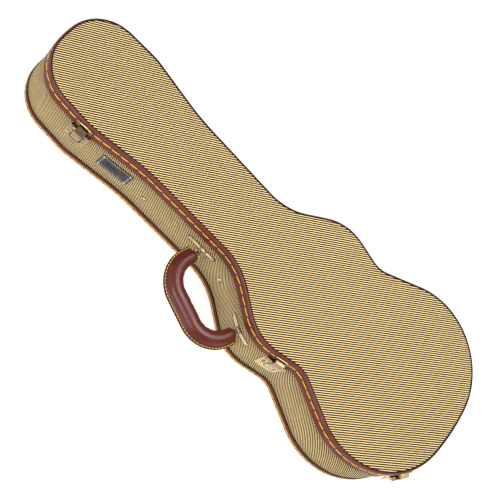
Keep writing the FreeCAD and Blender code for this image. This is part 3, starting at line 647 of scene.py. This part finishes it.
def painted_edge_shade():
    """Leather painted near black, a little uneven: painted shade in the grooves at the lid's roll, band and
    panel, and along the binding's top.
    """
    shade = Shade("painted_edge_shade", (0.020, 0.007, 0.005), Roughness=0.75, Specular_IOR_Level=0.2)
    tone = shade.ramp(shade.noise(300.0, 5.0), (0.35, (0.016, 0.005, 0.004)), (0.7, (0.040, 0.012, 0.008)))
    return shade.finish(tone, None, shade.bump(shade.noise(800.0, 3.0), 0.00008, 0.5))


def yarn_thread():
    """Waxed thread; its plies run slantwise in the thread's own coordinates."""
    shade = Shade("stitching_thread", (0.95, 0.55, 0.03), Roughness=0.55, Specular_IOR_Level=0.25)
    along, around, _ = shade.parts(shade.weave())
    turn = shade.math("ADD", shade.math("MULTIPLY", along, 900.0), shade.math("MULTIPLY", around, 2000.0))
    ply = shade.wave(turn)
    # painted shade: the thread is darker in the grooves between its plies
    tone = shade.ramp(shade.unit(ply), (0.05, (0.90, 0.48, 0.02)), (0.5, (0.99, 0.72, 0.07)))
    color = shade.mix(shade.ramp(shade.noise(90.0), (0.4, 0.0), (0.7, 0.3)), tone, (0.99, 0.76, 0.16))
    return shade.finish(color, None, shade.bump(ply, 0.00012, 0.6))


def metal(name, tone, tarnish, roughness, amount=0.5, shade_above=None):
    """Plated metal, faintly brushed and tarnished in patches; the last tone, if given, is painted shade
    above HASP_SHADE_Z.
    """
    shade = Shade(name, tone, Metallic=1.0, Roughness=roughness)
    fine = shade.noise(900.0, 4.0)
    patches = shade.ramp(shade.noise(120.0, 6.0), (0.42, 0.0), (0.72, amount))
    color = shade.mix(patches, tone, tarnish)
    if shade_above:
        # painted shade: above HASP_SHADE_Z the colour blends to the darker tone
        height = shade.math("SUBTRACT", shade.parts(shade.place())[2], HASP_SHADE_Z * MM)
        color = shade.mix(shade.math("MULTIPLY", height, 1.0 / MM, clamp=True), color, shade_above)
    gloss = shade.ramp(shade.noise(240.0, 5.0), (0.3, roughness - 0.07), (0.72, roughness + 0.14))
    return shade.finish(color, gloss, shade.bump(fine, 0.00003, 0.5))


def metals():
    """Steel, and brass from bright to black; the brightest is a painted highlight and the darker copies are
    partly painted shade.
    """
    brass, brass_tarnish = (0.66, 0.52, 0.31), (0.36, 0.25, 0.11)
    # painted shade: brass tones darkened as if in shade, for the head latch's plate, lever and hasp
    shaded_brass_tone, shaded_brass_tarnish = (0.36, 0.28, 0.155), (0.17, 0.12, 0.06)
    # near black: tarnish of the darkest brass, and painted shade on the head hasp's upper part
    near_black_tarnish_and_shade = (0.07, 0.05, 0.03)
    rows = {                # tone, tarnish, roughness, share tarnished, painted shade tone above HASP_SHADE_Z
        "steel": ((0.60, 0.57, 0.50), (0.30, 0.27, 0.22), 0.28),
        "brass": (brass, brass_tarnish, 0.33),
        "shaded_brass": (shaded_brass_tone, shaded_brass_tarnish, 0.36, 0.7),
        "dark_and_shaded_brass": ((0.22, 0.17, 0.09), near_black_tarnish_and_shade, 0.38, 0.9),
        # painted shade: both hasps turn darker above HASP_SHADE_Z
        "hasp": (brass, brass_tarnish, 0.36, 0.5, (0.30, 0.22, 0.12)),
        "shaded_hasp": (shaded_brass_tone, shaded_brass_tarnish, 0.40, 0.7, near_black_tarnish_and_shade),
        # painted highlight: a brighter copy of brass, for the catches' rolled rims
        "painted_highlight_brass": ((0.90, 0.66, 0.22), (0.70, 0.45, 0.12), 0.26, 0.3),
        # near black: print on the name plate, and painted shade in the lines round levers, lock, rivets and
        # brackets
        "black_print_and_painted_shade": ((0.030, 0.022, 0.014), (0.012, 0.009, 0.006), 0.55),
    }
    return {name: metal(name, *row) for name, row in rows.items()}


def plush():
    """Short pile over foam, crushed in places."""
    shade = Shade("plush", (0.16, 0.012, 0.02), Roughness=0.9, Sheen_Weight=0.7, Sheen_Roughness=0.45)
    shade.bsdf.inputs["Sheen Tint"].default_value = (0.9, 0.42, 0.42, 1.0)
    pile = shade.noise(1400.0, 3.0)
    crushed = shade.ramp(shade.noise(38.0, 6.0, roughness=0.62), (0.36, 0.0), (0.64, 1.0))
    color = shade.mix(crushed, (0.12, 0.008, 0.014), (0.24, 0.022, 0.032))
    # painted shade: the plush is darker down between the tufts of pile
    color = shade.mix(shade.ramp(pile, (0.35, 0.35), (0.65, 0.0)), color, (0.05, 0.004, 0.006))
    return shade.finish(color, None, shade.bump(pile, 0.0005, 0.7))


def plywood():
    """Thin birch plies, seen mostly at the shells' open edges."""
    shade = Shade("plywood", (0.62, 0.42, 0.22), Roughness=0.6)
    grain = shade.noise(60.0, 6.0, shade.place((1.0, 1.0, 14.0)))
    streaks = shade.ramp(grain, (0.35, (0.66, 0.46, 0.25)), (0.65, (0.50, 0.31, 0.15)))
    pores = shade.noise(900.0, 2.0, shade.place((0.2, 0.2, 1.0)))
    color = shade.mix(shade.ramp(pores, (0.58, 0.0), (0.72, 0.5)), streaks, (0.30, 0.17, 0.07))
    return shade.finish(color, None, shade.bump(grain, 0.0002, 0.4))


def dark_plate():
    """Dark satin name plate metal, brushed along its length, rubbed at random."""
    shade = Shade("name_plate_metal", (0.016, 0.016, 0.020), Roughness=0.55, Specular_IOR_Level=0.25)
    brushed = shade.noise(500.0, 4.0, shade.place((0.08, 0.08, 3.0)))
    rubbed = shade.ramp(brushed, (0.35, 0.0), (0.7, 0.6))
    color = shade.mix(rubbed, (0.012, 0.012, 0.016), (0.030, 0.030, 0.036))
    gloss = shade.ramp(shade.noise(200.0, 4.0), (0.3, 0.42), (0.7, 0.58))
    return shade.finish(color, gloss, shade.bump(brushed, 0.00004, 0.5))


def ribbon():
    """Woven ribbon with fine cross ribs."""
    shade = Shade("ribbon", (0.30, 0.16, 0.045), Roughness=0.7, Sheen_Weight=0.3)
    ribs = shade.add("TexWave", {"Vector": shade.place(), "Scale": 420.0, "Distortion": 0.6})
    color = shade.mix(shade.ramp(ribs, (0.2, 0.0), (0.8, 0.6)), (0.34, 0.19, 0.05), (0.16, 0.08, 0.02))
    return shade.finish(color, None, shade.bump(ribs, 0.0002, 0.6))


def studio_floor():
    """White sweep lit from behind, which throws soft light back up."""
    shade = Shade("studio_floor", (0.55, 0.55, 0.55), Roughness=0.8, Emission_Strength=0.72)
    shade.bsdf.inputs["Emission Color"].default_value = WHITE
    tone = shade.ramp(shade.noise(2.0, 3.0), (0.3, 0.54), (0.7, 0.56))
    return shade.finish(tone)


def make_paint():
    """Every material of the case, by the name that the pieces and nodes ask for."""
    paint = {
        "tweed": tweed(),
        "painted_edge_shade": painted_edge_shade(),
        "thread": yarn_thread(),
        "plush": plush(),
        "plywood": plywood(),
        "name_plate_metal": dark_plate(),
        "ribbon": ribbon(),
    }
    return {**paint, **leathers(), **metals()}


# ---- camera, light and floor
def make_camera():
    """Camera from the head end's front, looking down along the case."""
    data = bpy.data.cameras.new("camera")
    data.lens = CAMERA_LENS
    data.sensor_width = SENSOR_WIDTH
    camera = add_object("camera", data)
    axes = (Vector(CAMERA_RIGHT), -Vector(CAMERA_DOWN), -Vector(CAMERA_FORWARD))
    camera.matrix_world = Matrix.Translation(CAMERA_SPOT) @ Matrix(axes).transposed().to_4x4()
    bpy.context.scene.camera = camera


def make_light(name, spot, aim, size, power):
    data = bpy.data.lights.new(name, "AREA")
    data.shape = "RECTANGLE"
    data.size, data.size_y = size
    data.energy = power
    light = add_object(name, data)
    light.location = spot
    light.rotation_euler = (Vector(aim) - Vector(spot)).to_track_quat("-Z", "Y").to_euler()


def make_world():
    """White surroundings, brighter where the camera sees them than in the light they give."""
    world = bpy.data.worlds.new("studio")
    world.use_nodes = True
    sky = world.node_tree
    sky.nodes["Background"].inputs["Color"].default_value = WHITE
    seen = sky.nodes.new("ShaderNodeLightPath")
    strength = sky.nodes.new("ShaderNodeMapRange")
    strength.inputs["To Min"].default_value = WORLD_LIGHT
    strength.inputs["To Max"].default_value = WORLD_SEEN
    sky.links.new(seen.outputs["Is Camera Ray"], strength.inputs["Value"])
    sky.links.new(strength.outputs["Result"], sky.nodes["Background"].inputs["Strength"])
    bpy.context.scene.world = world


def make_floor():
    mesh = bpy.data.meshes.new("studio_floor")
    corners = [(x * FLOOR_REACH, y * FLOOR_REACH, 0.0) for x, y in ((-1, -1), (1, -1), (1, 1), (-1, 1))]
    mesh.from_pydata(corners, [], [(0, 1, 2, 3)])
    mesh.materials.append(studio_floor())
    floor = add_object("studio_floor", mesh)
    floor.location.z = -FLOOR_DROP


def make_studio():
    bpy.context.scene.view_settings.view_transform = "Standard"
    make_world()
    for softbox in SOFTBOXES:
        make_light(*softbox)
    make_floor()


def make_lid_band(paint):
    """Leatherette band round the lid, with a groove for its stitches and painted shade along its top edge.
    """
    band = [(1.38, 79.9), (0.75, 79.9)] + arc((0.85, 80.4), 0.45, 270, 180, 3)
    band += [(0.38, 84.0), (0.34, 90.5), (0.42, 92.3), (0.66, 93.5), (0.40, 94.7), (0.22, 96.2)]
    band += [(0.20, 98.7), (0.62, 99.0), (0.95, 99.28), (1.38, 99.28)]
    # painted shade: the top edges of the profile are painted near black where the band meets the roll
    made = sweep(band, ripple=0.12, marked=range(len(band) - 4, len(band) - 1))
    strip = made.build("lid_band_leatherette", "lid", "leatherette", paint["leatherette"], paint["painted_edge_shade"],
                       node="lid_band")


def make_lid_roll(paint):
    """Rolled leather along the lid's top edge; the turn down to the tweed is painted near black as shade,
    and its upper side has a painted highlight.
    """
    roll = [(1.38, 99.32), (0.5, 99.32), (0.06, 99.6)] + arc((3.6, 100.2), 3.58, 180, 94, 12)
    roll += [(3.62, 103.78), (3.8, 103.45), (3.82, 102.02), (1.38, 102.02)]
    # painted shade: the roll's upper edges, where it turns down to the tweed, are painted near black
    made = sweep(roll, ripple=0.10, marked=range(len(roll) - 8, len(roll) - 2))
    made.build("lid_edge_piping", "lid", "leatherette", paint["piping_leather"], paint["painted_edge_shade"],
               node="lid_piping")


def make_lid_panel(paint):
    """Tweed over the lid, tucked in beside the roll, its edge painted near black as shade."""
    rim = [(3.7, 102.9), (4.1, 102.95), (4.25, 103.2), (4.7, 103.4), (5.8, 103.45)]
    # painted shade: the first two edges of the rim are painted near black
    made = panel(rim, crown=0.15, dimple=0.12, marked=2)
    sheet = made.build("lid_tweed_panel", "lid", "tweed", paint["tweed"], paint["painted_edge_shade"],
                       node="lid_top_cover")
    weld(sheet)


def make_wall_cover(paint):
    """Tweed round the base, from behind the binding to a rounded edge at the seam with the lid."""
    wall = [(1.98, BINDING_TOP + 0.1), (1.2, BINDING_TOP + 0.1), (1.2, 40.0), (1.2, 78.7)]
    wall += arc((1.6, 78.7), 0.4, 180, 90, 3) + [(1.98, 79.1)]
    made = sweep(wall, weave=wall_weave)
    strip = made.build("base_tweed_wall", "base", "tweed", paint["tweed"], node="base_side_cover")


def make_binding(paint):
    """Leatherette folded round the base's bottom edge, with a groove for its stitches, and painted shade
    along its top edge where it meets the tweed.
    """
    binding = [(9.0, 0.76), (9.0, 0.3), (8.6, 0.04)] + arc((1.7, 1.7), 1.66, 270, 180, 6)
    binding += [(0.08, 2.9), (0.22, 3.4), (0.55, 4.3), (0.22, 5.2), (0.05, 6.2), (0.0, 8.6), (0.08, 11.8)]
    binding += [(0.35, 12.9), (0.75, 13.4), (1.98, 13.55), (1.98, 0.76)]
    # painted shade: the binding's top edges are painted near black
    made = sweep(binding, ripple=0.10, marked=range(len(binding) - 5, len(binding) - 2))
    strip = made.build("base_edge_binding", "base", "leatherette", paint["leatherette"], paint["painted_edge_shade"],
                       node="base_binding")


def make_wall_stitches(paint):
    """Rows of stitches round the lid's band and the base's binding."""
    wall_stitches(**BAND_STITCH).build("lid_band_stitches", "lid", "leatherette", paint["thread"])
    wall_stitches(**BINDING_STITCH).build("base_binding_stitches", "base", "leatherette", paint["thread"])


def make_underside(paint):
    """Tweed across the bottom, tucked in behind the binding."""
    made = panel([(8.9, 0.72), (9.3, 0.45), (10.2, 0.35)], crown=0.0).turn_over()
    sheet = made.build("base_underside_cover", "base", "tweed", paint["tweed"], node="base_bottom_cover")
    weld(sheet)


# ---- plush inside
def make_pads(paint):
    """Plush over foam on the floor, inside the lid and round the wall."""
    floor = [(11.3, 5.0), (11.25, 8.0)] + arc((13.6, 8.2), 2.3, 180, 90, 5) + [(16.0, 10.7)]
    lid = [(8.9, 98.4), (8.85, 96.6)] + arc((11.0, 96.4), 2.1, 180, 270, 5) + [(14.0, 94.15)]
    wall = [(8.55, 4.9), (8.55, 40.0), (8.55, 77.8)] + arc((9.75, 77.9), 1.2, 180, 20, 6)
    wall += [(11.0, 72.0), (11.3, 50.0), (11.3, 26.0), (11.0, 12.0), (10.9, 4.9)]
    for made, name, body, node, fill in (
            (panel(floor, crown=0.5, dimple=0.5), "floor_plush_pad", "base", "floor_pad", 0.7),
            (panel(lid, crown=-0.3, dimple=0.4).turn_over(), "lid_plush_pad", "lid", "lid_lining_pad", 0.7),
            (sweep(wall, ripple=0.35), "wall_plush_lining", "base", "base_side_lining", 0.8)):
        pad = made.build(name, body, "plush", paint["plush"], node=node)
        weld(pad)


def modify(made, kind, **settings):
    """Add a modifier of that kind to a piece."""
    added = made.modifiers.new(kind.lower(), kind)
    for setting, value in settings.items():
        setattr(added, setting, value)


def settle(made):
    """Apply a piece's modifiers to its mesh."""
    graph = bpy.context.evaluated_depsgraph_get()
    shaped = bpy.data.meshes.new_from_object(made.evaluated_get(graph))
    made.modifiers.clear()
    made.data = shaped


def covered(node, name, body, voxel, material, shrink=0.0):
    """A covering round a model node's shape: remeshed, with its edges softened."""
    made = add_object(name, frame["nodes"][node].data.copy())
    weld(made)
    modify(made, "REMESH", mode="VOXEL", voxel_size=voxel * MM)
    modify(made, "SMOOTH", factor=0.5, iterations=SMOOTH_ROUNDS)
    settle(made)
    if shrink:
        for vertex, normal in zip(made.data.vertices, [v.normal.copy() for v in made.data.vertices]):
            vertex.co -= normal * shrink * MM
    made.data.polygons.foreach_set("use_smooth", [True] * len(made.data.polygons))
    made.data.materials.clear()
    made.data.materials.append(material)
    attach(made, body)
    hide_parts(node)
    return made


def inflate(made, pressure, cap):
    """Swell a closed soft piece by a short cloth simulation, no point moving beyond cap."""
    cloth = made.modifiers.new("cloth", "CLOTH")
    cloth.settings.use_pressure = True
    cloth.settings.uniform_pressure_force = pressure
    cloth.settings.effector_weights.gravity = 0.0
    scene = bpy.context.scene
    for moment in range(1, CLOTH_FRAMES + 1):
        scene.frame_set(moment)
    graph = bpy.context.evaluated_depsgraph_get()
    swollen = [vertex.co.copy() for vertex in made.evaluated_get(graph).data.vertices]
    made.modifiers.clear()
    scene.frame_set(1)
    for vertex, end in zip(made.data.vertices, swollen):
        move = end - vertex.co
        if move.length > cap * MM:
            move = move.normalized() * cap * MM
        vertex.co += move


def make_neck_cradle(paint):
    """Cushion that holds the neck, swollen over its block."""
    cradle = covered("neck_cradle", "neck_cradle_cushion", "base", CRADLE_VOXEL,
                     paint["plush"], CRADLE_SHRINK)
    inflate(cradle, CRADLE_PRESSURE, CRADLE_SWELL)
    modify(cradle, "SUBSURF", levels=1, render_levels=1)


def make_compartment(paint):
    """Plush over the accessory compartment's walls and lid."""
    for node, body, voxel in (("compartment_near_wall", "base", 1.4), ("compartment_far_wall", "base", 1.4),
                              ("compartment_lid", "compartment_cover", 0.8)):
        covered(node, node + "_plush", body, voxel, paint["plush"])


def folded_section(start, end, half, thickness):
    """Section of a ribbon folded back on itself: (x, height over its middle), round the outside first."""
    runs = [start + (end - half - start) * k / 5.0 for k in range(6)]
    turns = [math.radians(a) for a in (60, 30, 0, -30, -60)]
    section = []
    for reach, way in ((half, 1), (half - thickness, -1)):
        side = [(x, reach) for x in runs]
        side += [(runs[-1] + reach * math.cos(a), reach * math.sin(a)) for a in turns]
        side += [(x, -reach) for x in reversed(runs)]
        section += side[::way]
    return section


def make_pull_tab(paint):
    """Folded ribbon on the free edge of the compartment's lid."""
    low, high = [[value / MM for value in corner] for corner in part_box("compartment_pull_tab")]
    section = folded_section(low[0], high[0], (high[2] - low[2]) / 2.0, TAB_THICKNESS)
    middle_y, middle_z = (low[1] + high[1]) / 2.0, (low[2] + high[2]) / 2.0
    rings = []
    for i in range(TAB_RINGS):
        share = 2.0 * i / (TAB_RINGS - 1) - 1.0
        y = middle_y + share * (high[1] - low[1]) / 2.0
        droop = TAB_DROOP * share * share / TAB_RUN
        rings.append([(x, y, middle_z + h - droop * (x - low[0])) for x, h in section])
    tab = tube(rings).build("compartment_ribbon_tab", "compartment_cover", "ribbon", paint["ribbon"],
                            node="compartment_pull_tab")
    recalculate(tab)


# ---- handle
class Arch:
    """The handle's core line by distance from the neck end."""

    def __init__(self):
        neck, bout = Vector((*HANDLE_EYE_NECK, HANDLE_Z)), Vector((*HANDLE_EYE_BOUT, HANDLE_Z))
        self.middle = (neck + bout) / 2.0
        self.along = (bout - neck).normalized()
        self.out = Vector((self.along.y, -self.along.x, 0.0))
        self.half_span = (bout - neck).length / 2.0
        self.leg = HANDLE_DEPTH - HANDLE_CORNER - GRIP_START
        self.bend = HANDLE_CORNER * math.pi / 2.0
        self.top = 2.0 * (self.half_span - HANDLE_CORNER)
        self.length = 2.0 * self.leg + 2.0 * self.bend + self.top

    def at(self, distance):
        """Point and outward direction; beyond half way it is the mirror of the first half."""
        mirrored = distance > self.length / 2.0
        d = self.length - distance if mirrored else distance
        bend_x, bend_y = -(self.half_span - HANDLE_CORNER), HANDLE_DEPTH - HANDLE_CORNER
        if d < self.leg:
            x, y, turn = -self.half_span, GRIP_START + d, 0.0
        elif d < self.leg + self.bend:
            turn = (d - self.leg) / HANDLE_CORNER
            x = bend_x - HANDLE_CORNER * math.cos(turn)
            y = bend_y + HANDLE_CORNER * math.sin(turn)
        else:
            x, y, turn = bend_x + d - self.leg - self.bend, HANDLE_DEPTH, math.pi / 2.0
        out_x, out_y = -math.cos(turn), math.sin(turn)
        if mirrored:
            x, out_x = -x, -out_x
        point = self.middle + self.along * x + self.out * y
        return point, self.along * out_x + self.out * out_y

    def ring(self, distance, section):
        """Section of (outwards, up) points, set across the core line."""
        point, out = self.at(distance)
        return [point + out * o + Vector((0.0, 0.0, h)) for o, h in section]

    def swell(self, distance):
        """How much fuller than at its ends the padding is."""
        return (GRIP_MIDDLE_RADIUS - GRIP_END_RADIUS) * math.sin(math.pi * distance / self.length)


def teardrop(radius, outer):
    """Section of the padded leather: (outwards, up), a round that runs into the welt's root.

    The round's outermost point is at outer, so a fuller section reaches further inwards.
    """
    round_part = [math.radians(a) for a in range(38, 323, 12)]
    neck = [(WELT_ROOT - 1.3, WELT_HALF + 1.1), (WELT_ROOT - 0.4, WELT_HALF + 0.25),
            (WELT_ROOT + 0.5, WELT_HALF)]
    points = neck[::-1]
    points += [(outer - radius + radius * math.cos(a), radius * math.sin(a)) for a in round_part]
    return [(neck[-1][0], -neck[-1][1])] + points + [(o, -h) for o, h in neck[:-1]]


def grip_ring(arch, distance, scale=1.0, mouth=False):
    """Ring of the padded grip, creased on its inner side."""
    crease = noise.noise(Vector((distance * CREASE_WAVES, 0.0, CREASE_SEED)))
    wide, high = GRIP_MOUTH if mouth else (1.0, 1.0)
    section = []
    for o, h in teardrop(GRIP_END_RADIUS + arch.swell(distance), GRIP_END_RADIUS):
        inner = max(0.0, -o / GRIP_END_RADIUS)
        size = scale * (1.0 - GRIP_PINCH * inner * crease)
        section.append((o * wide * size, h * high * size))
    return arch.ring(distance, section)


def make_grip(arch, paint):
    """Padded leather, rounded off at both ends round the steel that comes out of it."""
    tip = GRIP_END_RINGS[-1][0]
    run = arch.length - 2.0 * tip
    rings = [grip_ring(arch, d, scale, mouth) for d, scale, mouth in GRIP_END_RINGS]
    rings += [grip_ring(arch, tip + run * (i + 1) / (GRIP_STEPS + 1)) for i in range(GRIP_STEPS)]
    rings += [grip_ring(arch, arch.length - d, scale, mouth) for d, scale, mouth in reversed(GRIP_END_RINGS)]
    grip = tube(rings).build("handle_padded_leather", "handle", "handle_leather", paint["handle_leather"],
                             node="handle_grip")
    recalculate(grip)


def make_welt(arch, paint):
    """Two layers of leather round the outside of the grip, with the joint between them."""
    edge = WELT_REACH
    half = [(WELT_ROOT - 0.7, WELT_HALF), (edge - 0.7, WELT_HALF), (edge - 0.1, WELT_HALF - 0.45),
            (edge, 0.35)]
    strip = [(o, -h) for o, h in half] + [(edge - 0.3, 0.0)] + half[::-1]
    made = tube([arch.ring(arch.length * i / GRIP_STEPS, strip) for i in range(GRIP_STEPS + 1)])
    recalculate(made.build("handle_welt_leather", "handle", "handle_leather", paint["welt_leather"],
                           node="handle_welt"))


def make_handle_stitches(arch, paint):
    """A row of stitches on each side of the welt."""
    made = Builder()
    count = round(arch.length / HANDLE_STITCH_PERIOD)
    for n in range(count):
        middle = arch.length * (n + 0.5) / count
        for side in (1.0, -1.0):
            points = []
            for share, sink in HANDLE_STITCH_LINE:
                spot = (WELT_REACH - HANDLE_STITCH_FROM_EDGE, side * (WELT_HALF - sink))
                points += arch.ring(middle + share * HANDLE_STITCH_HALF, [spot])
            thread(made, points, [Vector((0.0, 0.0, side))] * len(points), width=0.85, height=0.6)
    made.build("handle_stitches", "handle", "handle_leather", paint["thread"])


# ---- fittings and woodwork
def soften_edges(made):
    """Rounded edges on a hard-edged node; only modifiers are added."""
    modify(made, "WELD", merge_threshold=WELD_DISTANCE)
    modify(made, "BEVEL", width=EDGE_BEVEL * MM, segments=2, limit_method="ANGLE",
           angle_limit=math.radians(SHARP_EDGE_ANGLE), harden_normals=True)


def finish_nodes(paint):
    """A material for every node of the model, and rounded edges on the metal ones."""
    for entry in frame["record"]["subparts"]:
        name, slot = entry["node"], entry["material_slot"]
        made = frame["nodes"][name]
        tones = [tone for starts, tone in FITTING_TONES if name.startswith(starts)]
        made.data.materials.clear()
        made.data.materials.append(paint[tones[0] if tones else slot])
        if slot in METAL_SLOTS and not made.hide_render:
            soften_edges(made)


class Latch:
    """Where points of one latch are, and short calls that draw lines on it."""

    def __init__(self, name):
        joints = {joint["name"]: joint for joint in frame["record"]["behaviour"]["joints"]}
        joint = joints["latch_%s_lever" % name]
        self.name = name
        self.pin = Vector(joint["pos_m"]) / MM
        self.along = -Vector(joint["axis"])
        self.out = Vector((self.along.y, -self.along.x, 0.0))

    def line(self, builder, spots, w, width, height):
        """Line through (u, v) spots, w out from the lever's face."""
        points = [self.pin + self.along * u + Vector((0.0, 0.0, v)) + self.out * (LEVER_FACE_W + w)
                  for u, v in spots]
        thread(builder, points, [self.out] * len(points), width, height)

    def bead(self, reach, inner, v, w, width, height):
        """Straight bead across the latch, through its middle, inner and outer points."""
        made = Builder()
        self.line(made, [(u, v) for u in (-reach, -inner, 0.0, inner, reach)], w, width, height)
        return made


def make_keyway_shade(latch, paint):
    """Painted shade: a dark strip in the lock's plug where its slot is, which turns with it."""
    made = Builder()
    slot = [(0.0, LOCK_V + v) for v in (-2.1, -1.0, 1.0, 2.1)]
    latch.line(made, slot, w=0.1, width=0.96, height=1.1)
    made.build("lock_keyway_shade", "lock", "brass", paint["black_print_and_painted_shade"])


def make_lever_shade_line(latch, paint):
    """Painted shade: a dark line round the lever's face, and round the lock if it has one."""
    made = Builder()
    line = [(-u, v) for u, v in LEVER_SHADE_LINE] + [(0.0, LEVER_SHADE_LINE_FOOT_V)] + list(LEVER_SHADE_LINE[::-1])
    latch.line(made, line, w=0.0, width=1.7, height=0.16)
    if latch.name == LOCKED_LATCH:
        turns = [2.0 * math.pi * i / 32 for i in range(33)]
        radius = PLUG_RADIUS + PLUG_GAP
        ring = [(math.cos(a) * radius, LOCK_V + math.sin(a) * radius) for a in turns]
        latch.line(made, ring, w=0.0, width=0.5, height=0.14)
    made.build("latch_lever_shade_line_" + latch.name, "latch_" + latch.name, "brass", paint["black_print_and_painted_shade"])


def make_latches(paint):
    """The small lines and beads on each latch."""
    for name in LATCHES:
        latch = Latch(name)
        if name == LOCKED_LATCH:
            make_keyway_shade(latch, paint)
        make_lever_shade_line(latch, paint)
        # painted highlight: the catch's rim takes brighter brass
        rim = latch.bead(**CATCH_RIM)
        rim.build("latch_catch_rim_" + name, "lid", "brass", paint["painted_highlight_brass"])
        bead = latch.bead(**HASP_BEAD)
        bead.build("latch_hasp_bead_" + name, "hasp_" + name, "brass", paint["brass"])


def plate_rule(builder, start, end, width):
    """Line on the name plate between two (along, up) points from its middle."""
    middle = LOOP.s_at_x(NAME_PLATE_X)
    steps = [Vector(start).lerp(Vector(end), i / 8.0) for i in range(9)]
    spots = [(middle + u, NAME_PLATE_Z + v, 0.0) for u, v in steps]
    wall_thread(builder, spots, NAME_PLATE_INSET, width, height=0.12)


def make_name_plate(paint):
    """A plain double border and two bars, in place of the lettering."""
    made = Builder()
    for reach, rise, width in NAME_PLATE_BORDERS:
        corners = [(-reach, -rise), (reach, -rise), (reach, rise), (-reach, rise)]
        for start, end in zip(corners, corners[1:] + corners[:1]):
            plate_rule(made, start, end, width)
    made.build("name_plate_rules", "base", "name_plate_metal", paint["steel"])
    for name, start, end, tone in NAME_PLATE_BARS:
        made = Builder()
        plate_rule(made, (start, 0.0), (end, 0.0), NAME_PLATE_BAR_WIDTH)
        made.build("name_plate_bar_" + name, "base", "name_plate_metal", paint[tone])


def wall_shade_ring(middle, z, reach, radius, inset, width):
    """Dark line round a stadium on the wall, as painted shade; reach is from its middle to the centre of
    each end.
    """
    spots = []
    for way in (1.0, -1.0):
        turns = [math.radians(15.0 * i) for i in range(-6, 7)]
        spots += [(way * (reach + radius * math.cos(a)), way * radius * math.sin(a)) for a in turns]
        if reach:
            spots += [(way * reach * (1.0 - i / 4.0), way * radius) for i in range(1, 8)]
    ring = Builder()
    wall_thread(ring, [(middle + u, z + v, 0.0) for u, v in spots + spots[:1]], inset, width, height=0.5)
    return ring


def make_wall_rings(paint):
    """Shadow lines round the wall's rivets and the handle's brackets."""
    for name, x, z in WALL_RIVETS:
        ring = wall_shade_ring(LOOP.s_at_x(x), z, **RIVET_SHADE_RING)
        ring.build("wall_rivet_shade_ring_" + name, "base", "brass", paint["black_print_and_painted_shade"])
    for name, eye in (("neck", HANDLE_EYE_NECK), ("bout", HANDLE_EYE_BOUT)):
        ring = wall_shade_ring(LOOP.s_nearest(eye), HANDLE_Z, **BRACKET_SHADE_RING)
        ring.build("handle_bracket_shade_line_" + name, "base", "brass", paint["black_print_and_painted_shade"])


def main():
    paint = make_paint()
    make_camera()
    make_studio()
    for make in (make_lid_band, make_lid_roll, make_lid_panel, make_wall_cover, make_binding,
                 make_wall_stitches, make_underside, make_pads):
        make(paint)
    arch = Arch()
    for make in (make_grip, make_welt, make_handle_stitches):
        make(arch, paint)
    for make in (make_latches, make_name_plate, make_wall_rings, make_neck_cradle, make_compartment,
                 make_pull_tab, finish_nodes):
        make(paint)


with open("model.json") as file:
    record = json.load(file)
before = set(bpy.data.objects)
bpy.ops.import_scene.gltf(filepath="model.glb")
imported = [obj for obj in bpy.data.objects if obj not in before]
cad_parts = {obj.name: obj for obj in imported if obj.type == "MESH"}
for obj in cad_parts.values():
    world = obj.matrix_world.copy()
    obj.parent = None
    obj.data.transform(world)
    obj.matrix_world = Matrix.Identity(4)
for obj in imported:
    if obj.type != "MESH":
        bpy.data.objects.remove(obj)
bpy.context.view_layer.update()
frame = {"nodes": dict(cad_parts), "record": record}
main()
